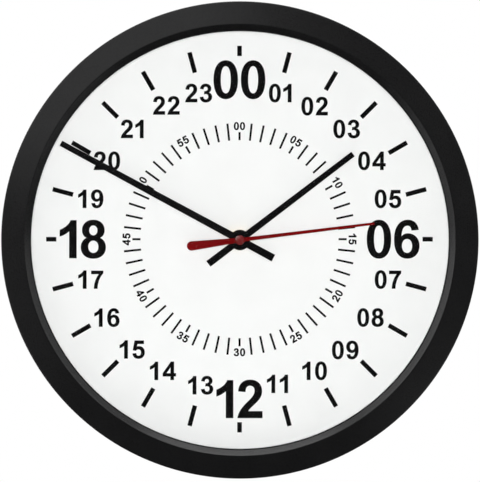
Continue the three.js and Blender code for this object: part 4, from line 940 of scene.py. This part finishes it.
SIX_WIDTH = 0.667
SIX = [
    [(0.645, 0.752), (0.463, 0.735), (0.452, 0.82, 0.415, 0.862, 0.35, 0.862),
     (0.255, 0.862, 0.2, 0.78, 0.188, 0.57), (0.235, 0.625, 0.295, 0.652, 0.365, 0.652),
     (0.535, 0.652, 0.667, 0.52, 0.667, 0.325), (0.667, 0.12, 0.535, -0.012, 0.345, -0.012),
     (0.135, -0.012, 0, 0.15, 0, 0.49), (0, 0.83, 0.145, 1.012, 0.36, 1.012),
     (0.515, 1.012, 0.62, 0.925, 0.645, 0.752)],
    oval((0.34, 0.322), 0.142, 0.19, 0.58),
]
NINE = [[tuple(1 - v if i % 2 else SIX_WIDTH - v for i, v in enumerate(point)) for point in contour]
        for contour in SIX]
DIGITS = {
    "0": [oval((0.32, 0.5), 0.32, 0.512, 0.63), oval((0.32, 0.5), 0.137, 0.366, 0.64)],
    "1": [[(0.44, 0), (0.25, 0), (0.25, 0.72), (0.18, 0.653, 0.097, 0.605, 0, 0.575), (0, 0.748),
           (0.05, 0.765, 0.107, 0.796, 0.165, 0.842), (0.225, 0.889, 0.265, 0.94, 0.285, 1.0), (0.44, 1.0)]],
    "2": [[(0, 0), (0.656, 0), (0.656, 0.176), (0.274, 0.176), (0.31, 0.235, 0.36, 0.285, 0.43, 0.35),
           (0.56, 0.47, 0.645, 0.56, 0.645, 0.71), (0.645, 0.89, 0.53, 1.012, 0.335, 1.012),
           (0.15, 1.012, 0.035, 0.915, 0.018, 0.71), (0.204, 0.692), (0.21, 0.81, 0.25, 0.86, 0.33, 0.86),
           (0.41, 0.86, 0.455, 0.81, 0.455, 0.72), (0.455, 0.62, 0.39, 0.545, 0.26, 0.42),
           (0.12, 0.285, 0.02, 0.15, 0, 0)]],
    "3": [[(0, 0.272), (0.183, 0.294), (0.195, 0.19, 0.25, 0.138, 0.325, 0.138),
           (0.41, 0.138, 0.475, 0.2, 0.475, 0.3), (0.475, 0.4, 0.415, 0.457, 0.33, 0.457),
           (0.3, 0.457, 0.27, 0.452, 0.235, 0.441), (0.256, 0.595), (0.375, 0.592, 0.44, 0.645, 0.44, 0.73),
           (0.44, 0.81, 0.395, 0.862, 0.32, 0.862), (0.245, 0.862, 0.195, 0.81, 0.186, 0.712),
           (0.012, 0.742), (0.045, 0.92, 0.15, 1.012, 0.325, 1.012), (0.51, 1.012, 0.62, 0.89, 0.62, 0.745),
           (0.62, 0.65, 0.57, 0.575, 0.47, 0.526), (0.59, 0.5, 0.667, 0.41, 0.667, 0.29),
           (0.667, 0.12, 0.525, -0.012, 0.325, -0.012), (0.14, -0.012, 0.02, 0.09, 0, 0.272)]],
    "4": [[(0.424, 0), (0.606, 0), (0.606, 0.203), (0.716, 0.203), (0.716, 0.363), (0.61, 0.363),
           (0.61, 1.005), (0.448, 1.005), (0, 0.366), (0, 0.2), (0.424, 0.2)],
          [(0.428, 0.36), (0.428, 0.708), (0.184, 0.36)]],
    "5": [[(0, 0.264), (0.188, 0.284), (0.2, 0.19, 0.255, 0.138, 0.325, 0.138),
           (0.41, 0.138, 0.475, 0.205, 0.475, 0.33), (0.475, 0.445, 0.415, 0.512, 0.32, 0.512),
           (0.265, 0.512, 0.215, 0.486, 0.172, 0.437), (0.02, 0.459), (0.116, 0.986), (0.618, 0.986),
           (0.618, 0.81), (0.26, 0.81), (0.23, 0.64), (0.275, 0.662, 0.32, 0.672, 0.365, 0.672),
           (0.54, 0.672, 0.667, 0.535, 0.667, 0.34), (0.667, 0.13, 0.53, -0.012, 0.325, -0.012),
           (0.14, -0.012, 0.02, 0.09, 0, 0.264)]],
    "6": SIX,
    "7": [[(0, 0.986), (0.656, 0.986), (0.656, 0.848), (0.5, 0.69, 0.345, 0.4, 0.335, 0), (0.15, 0),
           (0.158, 0.31, 0.27, 0.6, 0.43, 0.81), (0, 0.81)]],
    "8": [[(0.5, 0.536), (0.575, 0.57, 0.624, 0.645, 0.624, 0.74), (0.624, 0.9, 0.51, 1.012, 0.328, 1.012),
           (0.146, 1.012, 0.032, 0.9, 0.032, 0.74), (0.032, 0.645, 0.081, 0.57, 0.156, 0.536),
           (0.06, 0.495, 0, 0.405, 0, 0.285), (0, 0.11, 0.125, -0.012, 0.328, -0.012),
           (0.531, -0.012, 0.656, 0.11, 0.656, 0.285), (0.656, 0.405, 0.596, 0.495, 0.5, 0.536)],
          oval((0.328, 0.734), 0.114, 0.136, 0.56), oval((0.328, 0.3), 0.14, 0.168, 0.57)],
    "9": NINE,
}


def widened(contour, spread):
    """A digit's contour with its corners and handles moved to the right of its direction."""
    points = [Vector(item[i:i + 2]) for item in contour for i in range(0, len(item), 2)]
    repeated = (points[0] - points[-1]).length < TINY
    ring = points[:-1] if repeated else points
    made = []
    for k, here in enumerate(ring):
        before = (here - ring[k - 1]).normalized()
        after = (ring[(k + 1) % len(ring)] - here).normalized()
        along = (before + after).normalized()
        step = spread / max(along.dot(after), LEAST_MITRE)
        made.append((here.x + along.y * step, here.y - along.x * step))
    made += made[:1] if repeated else []
    coordinates = iter([value for point in made for value in point])
    return [tuple(next(coordinates) for value in item) for item in contour]


def trace(contour):
    """Points of a digit's outline, without the repeated last corner of a closed curve."""
    made = [contour[0]]
    for item in contour[1:]:
        if len(item) == 2:
            made.append(item)
            continue
        a, b, c, d = Vector(made[-1]), Vector(item[:2]), Vector(item[2:4]), Vector(item[4:])
        for i in range(1, DIGIT_STEPS + 1):
            t = i / DIGIT_STEPS
            s = 1 - t
            made.append(tuple(a * s ** 3 + b * 3 * s * s * t + c * 3 * s * t * t + d * t ** 3))
    first, last = Vector(made[0]), Vector(made[-1])
    return made[:-1] if (first - last).length < TINY else made


def numeral(text, height, gap, gap_after_one):
    """Digits side by side, as lists of contours about the middle of their box."""
    digits, left = [], 0.0
    for i, letter in enumerate(text):
        if i:
            left += height * (gap_after_one if text[i - 1] == "1" else gap)
        contours = []
        for k, contour in enumerate(DIGITS[letter]):
            outwards = 1 if (signed_area(trace(contour)) > 0) == (k == 0) else -1
            contours.append(trace(widened(contour, outwards * INK_SPREAD / height)))
        width = max(x for x, y in contours[0])
        digits.append([[(left + x * height, (y - 0.5) * height) for x, y in contour] for contour in contours])
        left += width * height
    return [[[(x - left / 2, y) for x, y in contour] for contour in contours] for contours in digits]


def ink(contours):
    return prism(contours, dial_front - PRINT_SINK, dial_front + PRINT_HEIGHT)


def printed(digits, centre, degrees=0.0):
    """Digits laid on the dial, turned clockwise about their centre."""
    shapes = []
    for contours in digits:
        placed = [[(x + centre[0], y + centre[1]) for x, y in turn_points(contour, degrees)]
                  for contour in contours]
        shapes.append(ink(placed))
    return shapes


def on_circle(radius, degrees):
    return turn_points([(0, radius)], degrees)[0]


def stroke(width, inner, outer, degrees):
    half = width / 2
    return ink([turn_points(box_outline(-half, inner, half, outer), degrees)])


def lay_print(name, shapes):
    placed = moved(merged(*shapes), Matrix.Translation(PRINT_OFFSET))
    dress(solid(name, placed), "case", "hand_black", print_black)


def hour_number_place(hour, degrees):
    """Middle of a small hour number, which the print sets a little off the circle."""
    angle = math.radians(degrees)
    x, y = on_circle(HOUR_NUMBER_RADIUS - HOUR_NUMBER_DROP * math.cos(angle) ** 4, degrees)
    pull = math.sin(2 * angle) ** 2
    aside = HOUR_NUMBER_ASIDE.get(hour, (0, 0))
    return (x - math.copysign(HOUR_NUMBER_PULL[0] * pull, x) + aside[0],
            y + math.copysign(HOUR_NUMBER_PULL[1] * pull, y) + aside[1])


def dial_print():
    batons, hours, strokes, minutes = [], [], [], []
    for hour in range(HOURS):
        degrees = 360 * hour / HOURS
        quarter = hour in QUARTER_RADII
        batons.append(stroke(BATON_WIDTH, BATON_INNER_QUARTER if quarter else BATON_INNER,
                             BATON_OUTER, degrees))
        if quarter:
            digits = numeral(f"{hour:02d}", QUARTER_HEIGHT, QUARTER_GAP, QUARTER_GAP_AFTER_ONE)
            place = on_circle(QUARTER_RADII[hour], degrees)
        else:
            digits = numeral(f"{hour:02d}", HOUR_NUMBER_HEIGHT, DIGIT_GAP, DIGIT_GAP_AFTER_ONE)
            place = hour_number_place(hour, degrees)
        hours += printed(digits, place)
    for minute in range(MINUTES):
        degrees = 360 * minute / MINUTES
        fifth = minute % MINUTES_PER_NUMBER == 0
        strokes.append(stroke(STROKE_WIDTH, STROKE_INNER, STROKE_OUTER_FIFTH if fifth else STROKE_OUTER,
                              degrees))
        if fifth:
            digits = numeral(f"{minute:02d}", MINUTE_NUMBER_HEIGHT, DIGIT_GAP, DIGIT_GAP_AFTER_ONE)
            flipped = 180 if 90 < degrees < 270 else 0
            minutes += printed(digits, on_circle(MINUTE_NUMBER_RADIUS, degrees), degrees + flipped)
    lay_print("hour_batons", batons)
    lay_print("hour_numbers", hours)
    lay_print("minute_strokes", strokes)
    lay_print("minute_numbers", minutes)


# Hands
def hub_side(radius, half_below, half_above):
    """The right side of a round hub between a tail and a blade of the given half widths."""
    start = -math.degrees(math.acos(half_below / radius))
    end = math.degrees(math.acos(half_above / radius))
    return arc((0, 0), radius, start, end, 3 * CURVE_STEPS)


def mirrored(right_side):
    """A whole outline from its right side, which runs from bottom to top."""
    return right_side + [(-x, y) for x, y in reversed(right_side) if x > TINY]


def lay_hand(name, right_side, hole, degrees, look, body, slot, hand_node):
    back, front = reach(hand_node)[1:]
    outline = [turn_points(mirrored(right_side), degrees), circle((0, 0), hole)]
    made = solid(name, prism(outline, back, front))
    soft_edges(made, HAND_ROUND)
    dress(made, body, slot, look, hand_node)


def baton_side(blade):
    """The right side of a hand that tapers from its tail to its tip."""
    half = (blade["tail_width"] + (blade["tip_width"] - blade["tail_width"])
            * blade["tail"] / (blade["tip"] + blade["tail"])) / 2
    return [(blade["tail_width"] / 2, -blade["tail"]), *hub_side(blade["hub"], half, half),
            (blade["tip_width"] / 2, blade["tip"])]


def hands():
    lay_hand("hour_hand_look", baton_side(HOUR_BLADE), HOUR_BLADE["hole"], HOUR_ANGLE, hand_black,
             "hours", "hand_black", "hour_hand")
    lay_hand("minute_hand_look", baton_side(MINUTE_BLADE), MINUTE_BLADE["hole"], MINUTE_ANGLE, hand_black,
             "minutes", "hand_black", "minute_hand")
    end = SECOND_TAIL_WIDTH / 2
    tail = arc((0, end - SECOND_TAIL), end, 270, 360)[1:]
    hub = hub_side(SECOND_HUB, SECOND_TAIL_NECK / 2, SECOND_ROOT_WIDTH / 2)
    pointer_side = [(0, -SECOND_TAIL), *tail, *hub, (SECOND_TIP_WIDTH / 2, SECOND_TIP)]
    lay_hand("second_hand_look", pointer_side, SECOND_HOLE, SECOND_ANGLE, hand_red,
             "seconds", "hand_red", "second_hand")


def second_cap():
    radius, back, front = reach("second_hand_cap")
    dome_back = front - CAP_HEIGHT
    dome = [(radius * math.cos(a), dome_back + CAP_HEIGHT * math.sin(a))
            for a in (math.pi / 2 * i / CURVE_STEPS for i in range(CURVE_STEPS))]
    made = solid("second_cap_look", lathe([
        (0, dome_back),
        (CAP_BORE, dome_back),
        (CAP_BORE, back),
        (CAP_SLEEVE, back),
        (CAP_SLEEVE, dome_back),
        *dome,
        (0, front),
    ], SMALL_SIDES))
    dress(made, "seconds", "hand_red", cap_red, "second_hand_cap")


def collet(name, body):
    shoulder, back, front = reach(name)
    hole = shoulder - COLLET_SHOULDER
    neck = hole + COLLET_NECK
    step = front - COLLET_NECK_HEIGHT
    made = solid(f"{name}_look", lathe(soften([
        (hole, back),
        (shoulder, back, SEAT_GAP),
        (shoulder, step, SEAT_GAP),
        (neck, step),
        (neck, front, SEAT_GAP),
        (hole, front, SEAT_GAP),
    ]), SMALL_SIDES))
    dress(made, body, "brass", brass, name)


# Centre fixing
def centre_bush():
    back, front = reach("centre_bush")[1:]
    flange = back + BUSH_FLANGE_THICKNESS
    core = BUSH_RADIUS - THREAD_DEPTH
    made = solid("centre_bush_look", lathe(soften([
        (BUSH_BORE, back),
        (BUSH_FLANGE_RADIUS, back, SEAT_GAP),
        (BUSH_FLANGE_RADIUS, flange, SEAT_GAP),
        (core, flange),
        *thread(core, BUSH_RADIUS, flange, front, BUSH_PITCH, BUSH_ROOT_SHARE),
        (core, front, SEAT_GAP),
        (BUSH_BORE, front, SEAT_GAP),
    ]), SMALL_SIDES))
    dress(made, "case", "brass", brass, "centre_bush")


def flat_ring(node_name, hole, rounding, slot, look):
    radius, back, front = reach(node_name)
    made = solid(f"{node_name}_look", lathe(soften([
        (hole, back, rounding),
        (radius, back, rounding),
        (radius, front, rounding),
        (hole, front, rounding),
    ]), SMALL_SIDES))
    dress(made, "case", slot, look, node_name)


def bush_nut():
    back, front = reach("bush_nut")[1:]
    hole = BUSH_RADIUS + SEAT_GAP
    face = NUT_FLATS / 2 - NUT_CHAMFER
    sixth = math.pi / 3

    def side(angle):
        return NUT_FLATS / 2 / math.cos((angle + sixth / 2) % sixth - sixth / 2)

    def drop(angle):
        return (side(angle) - face) * math.tan(math.radians(NUT_CHAMFER_ANGLE))

    made = solid("bush_nut_look", lathe([
        (hole + THREAD_DEPTH, back),
        (face, back),
        lambda angle: (side(angle), back + drop(angle)),
        lambda angle: (side(angle), front - drop(angle)),
        (face, front),
        (hole + THREAD_DEPTH, front),
        (hole, front - THREAD_DEPTH),
        (hole, back + THREAD_DEPTH),
    ], NUT_SIDES))
    dress(made, "case", "brass", brass, "bush_nut")


# Back of the movement
def polarity_marks(window, back, front):
    """A raised plus and minus above the ends of the cell."""
    level = window[3] + MARK_LENGTH
    long_half, half = MARK_LENGTH / 2, MARK_WIDTH / 2
    plus_x, minus_x = window[2] - MARK_LENGTH, window[0] + MARK_LENGTH
    plus = plus_outline(long_half, half)
    minus = box_outline(-long_half, -half, long_half, half)
    return [prism([[(x + plus_x, y + level) for x, y in plus]], back, front),
            prism([[(x + minus_x, y + level) for x, y in minus]], back, front)]


def movement_cover():
    back, front = reach("movement_cover")[1:]
    outline = flat_box("movement_cover")
    cell = flat_box("battery")
    knob = flat_box("setting_knob")
    half_window = -flat_box("negative_contact")[0] - WINDOW_LAP
    window = (-half_window, cell[1] - WINDOW_LAP, half_window, cell[3] + WINDOW_LAP)

    def contours_at(inset):
        return [rounded_box(*grown(outline, -inset), TUB_CORNER - inset),
                rounded_box(*grown(window, inset), WINDOW_CORNER + inset),
                circle(middle(knob), SHAFT_RADIUS + CASE_GAP + inset)]

    made = solid("movement_cover_look", rounded_plate(contours_at, back, front, COVER_ROUND))
    raised = back - COVER_FRAME_HEIGHT
    sunk = back + COVER_FRAME_HEIGHT
    inner = grown(window, WINDOW_LAP)
    lip = grown(inner, COVER_FRAME)
    window_frame = prism([rounded_box(*lip, WINDOW_CORNER + COVER_FRAME),
                          rounded_box(*inner, WINDOW_CORNER)], raised, sunk)
    guard = (knob[2] - knob[0]) / 2 + KNOB_GUARD_GAP
    knob_guard = prism([circle(middle(knob), guard + KNOB_GUARD_WALL), circle(middle(knob), guard)],
                       raised, sunk)
    combine(made, "UNION", window_frame, knob_guard, *polarity_marks(lip, raised, sunk))
    dress(made, "case", "housing", housing_black, "movement_cover")


def setting_knob():
    radius, back, front = reach("setting_knob")
    disc = front - KNOB_RIM
    dish = disc + KNOB_ROUND
    hole = SHAFT_RADIUS + SEAT_GAP
    round_middle = ROUND_MIDDLE_SHARE * KNOB_ROUND

    def grip(inset, height):
        """A point of the rim, which runs in and out with the ribs."""
        def place(angle):
            wave = 0.5 - 0.5 * math.cos(KNOB_RIBS * angle)
            return radius - inset - KNOB_RIB_HEIGHT * wave ** 2, height
        return place

    made = solid("setting_knob_look", lathe([
        (hole, back),
        (KNOB_COLLAR - KNOB_ROUND, back),
        (KNOB_COLLAR, back + KNOB_ROUND),
        (KNOB_COLLAR, disc + KNOB_COLLAR_FOOT),
        (KNOB_COLLAR + KNOB_ROUND, dish),
        (KNOB_DISH_SHARE * radius, dish),
        (KNOB_LIP_SHARE * radius, disc),
        grip(2 * KNOB_ROUND, disc),
        grip(round_middle, disc + round_middle),
        grip(0, disc + KNOB_ROUND),
        grip(0, front - KNOB_ROUND),
        grip(KNOB_ROUND, front),
        (hole, front),
    ], KNOB_RIBS * KNOB_RIB_SIDES))
    made.data.transform(Matrix.Translation((*middle(flat_box("setting_knob")), 0)))
    dress(made, "setting", "housing", housing_black, "setting_knob")


def battery():
    left, bottom, right, top = flat_box("battery")
    radius = (top - bottom) / 2
    depth = -sum(corner.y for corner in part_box("battery")) / 2 / MM
    length = right - left
    shoulder = length - BATTERY_NUB_LENGTH
    rim = radius - BATTERY_WRAP
    profile = soften([
        (0, BATTERY_BASE_SINK),
        (rim - BATTERY_GROOVE_WIDTH, BATTERY_BASE_SINK, BATTERY_BASE_ROUND),
        (rim - BATTERY_STEP, BATTERY_GROOVE_DEPTH),
        (rim, BATTERY_STEP_DEPTH),
        (rim + BATTERY_STEP, 0, BATTERY_STEP_ROUND),
        (radius - BATTERY_FOLD, 0, BATTERY_EDGE / 2),
        (radius, BATTERY_EDGE),
        (radius, shoulder - BATTERY_EDGE),
        (radius - BATTERY_FOLD, shoulder, BATTERY_EDGE / 2),
        (rim, shoulder, BATTERY_STEP_ROUND),
        (rim - BATTERY_STEP, shoulder - BATTERY_STEP_DEPTH),
        (BATTERY_NUB, shoulder - BATTERY_STEP_DEPTH),
        (BATTERY_NUB, length, BATTERY_NUB_ROUND),
        (0, length),
    ], closed=False)
    made = solid("battery_look", lathe(profile, SMALL_SIDES))
    lying = Matrix.Rotation(math.pi / 2, 4, "Y")
    made.data.transform(Matrix.Translation((left, (bottom + top) / 2, depth)) @ lying)
    dress(made, "cell", "cell", cell_wrap, "battery")
    made.data.materials.append(steel)
    for k in range(len(profile) - 1):
        if max(profile[k][0], profile[k + 1][0]) <= rim + TINY:
            for i in range(SMALL_SIDES):
                made.data.polygons[k * SMALL_SIDES + i].material_index = 1


# Pieces that keep their solids
KEPT = {
    housing_black: ["movement_case"],
    gear_plastic: ["train_bridge", "intermediate_wheel", "third_wheel", "minute_drive_wheel", "motion_wheel",
                   "hour_wheel", "rotor_pinion", "setting_shaft", "coil_bobbin"],
    steel: ["positive_contact", "negative_contact", "second_wheel", "quartz_crystal", "stator", "coil_core"],
    brass: ["cannon_pinion"],
    copper: ["coil_winding"],
    board_green: ["circuit_board"],
    resin: ["control_chip"],
    ferrite: ["rotor_magnet"],
}


def kept_nodes():
    for look, names in KEPT.items():
        for name in names:
            kept = frame["nodes"][name]
            kept.data.materials.clear()
            kept.data.materials.append(look)


# Stage
def seen_directly(look):
    """Factor that is 1 for rays that show the background."""
    path = node(look, "ShaderNodeLightPath")
    total = path.outputs["Is Camera Ray"]
    for name in ("Is Glossy Ray", "Is Transmission Ray"):
        total = worked_out(look, "MAXIMUM", total, path.outputs[name])
    return total


def world():
    studio = bpy.data.worlds.new("studio")
    bpy.context.scene.world = studio
    studio.use_nodes = True
    light = studio.node_tree.nodes["Background"]
    give(light, Color=WHITE, Strength=WORLD_LIGHT)
    white = node(studio, "ShaderNodeBackground", Color=WHITE, Strength=1.0)
    surface = mixed(studio, seen_directly(studio), light.outputs["Background"], white.outputs["Background"])
    join(studio, surface, studio.node_tree.nodes["World Output"].inputs["Surface"])


def floor():
    """Pale disc that fades into the white background away from the clock."""
    mesh = bpy.data.meshes.new("floor")
    rim = [(FLOOR_RADIUS * x, FLOOR_RADIUS * y, 0) for x, y in circle((0, 0), 1)]
    mesh.from_pydata(rim, [], [tuple(range(len(rim)))])
    disc = new_object("floor", mesh)
    disc.location = (0, 0, -FLOOR_DROP)
    look = finish("floor_pale", (0.82, 0.82, 0.82), (0.85, 0.85, 0.85), (0.8, 0.9), FLOOR_GRAIN, 0.00002)
    place = node(look, "ShaderNodeTexCoord")
    away = node(look, "ShaderNodeVectorMath")
    away.operation = "LENGTH"
    join(look, place.outputs["Object"], away.inputs[0])
    fade = node(look, "ShaderNodeMapRange", From_Min=FLOOR_CLEAR, From_Max=FLOOR_FADED, To_Min=FLOOR_GLOW)
    fade.interpolation_type = "SMOOTHSTEP"
    join(look, away.outputs["Value"], fade.inputs["Value"])
    factor = worked_out(look, "MULTIPLY", fade.outputs["Result"], seen_directly(look))
    glow = node(look, "ShaderNodeEmission", Color=WHITE, Strength=1.0)
    surface = mixed(look, factor, shader_of(look).outputs["BSDF"], glow.outputs["Emission"])
    join(look, surface, look.node_tree.nodes["Material Output"].inputs["Surface"])
    mesh.materials.append(look)


def facing(direction):
    """Turn of a lamp or camera that looks along a direction."""
    return direction.to_track_quat("-Z", "Y").to_euler()


def lamps():
    for name, lamp in LAMPS.items():
        light = bpy.data.lights.new(name, "AREA")
        light.shape = "DISK"
        light.size = lamp["size"]
        light.energy = lamp["power"]
        made = new_object(name, light)
        made.location = Vector(lamp["place"]) + Vector((0, 0, axis.z))
        made.rotation_euler = facing(axis - made.location)
        made.visible_glossy = lamp.get("gloss", True)
        made.visible_transmission = lamp.get("gloss", True)
        made.visible_diffuse = lamp.get("spread", True)


def camera():
    data = bpy.data.cameras.new("camera")
    data.lens = CAMERA_LENS
    data.sensor_width = CAMERA_SENSOR
    data.shift_x, data.shift_y = CAMERA_SHIFT
    made = new_object("camera", data)
    away = Vector((-math.sin(CAMERA_LEFT) * math.cos(CAMERA_ABOVE),
                   -math.cos(CAMERA_LEFT) * math.cos(CAMERA_ABOVE), math.sin(CAMERA_ABOVE)))
    made.location = axis + away * CAMERA_DISTANCE
    made.rotation_euler = facing(-away)
    bpy.context.scene.camera = made


camera()
world()
lamps()
floor()
bezel_ring()
lens()
dial()
dial_print()
back_pan()
case_screws()
hands()
second_cap()
collet("hour_hand_collet", "hours")
collet("minute_hand_collet", "minutes")
centre_bush()
flat_ring("dial_gasket", BUSH_RADIUS + CASE_GAP, 2 * SEAT_GAP, "rubber", rubber)
flat_ring("bush_washer", BUSH_RADIUS + SEAT_GAP, SEAT_GAP, "steel", steel)
bush_nut()
movement_cover()
setting_knob()
battery()
kept_nodes()

bpy.context.scene.view_settings.view_transform = "Standard"
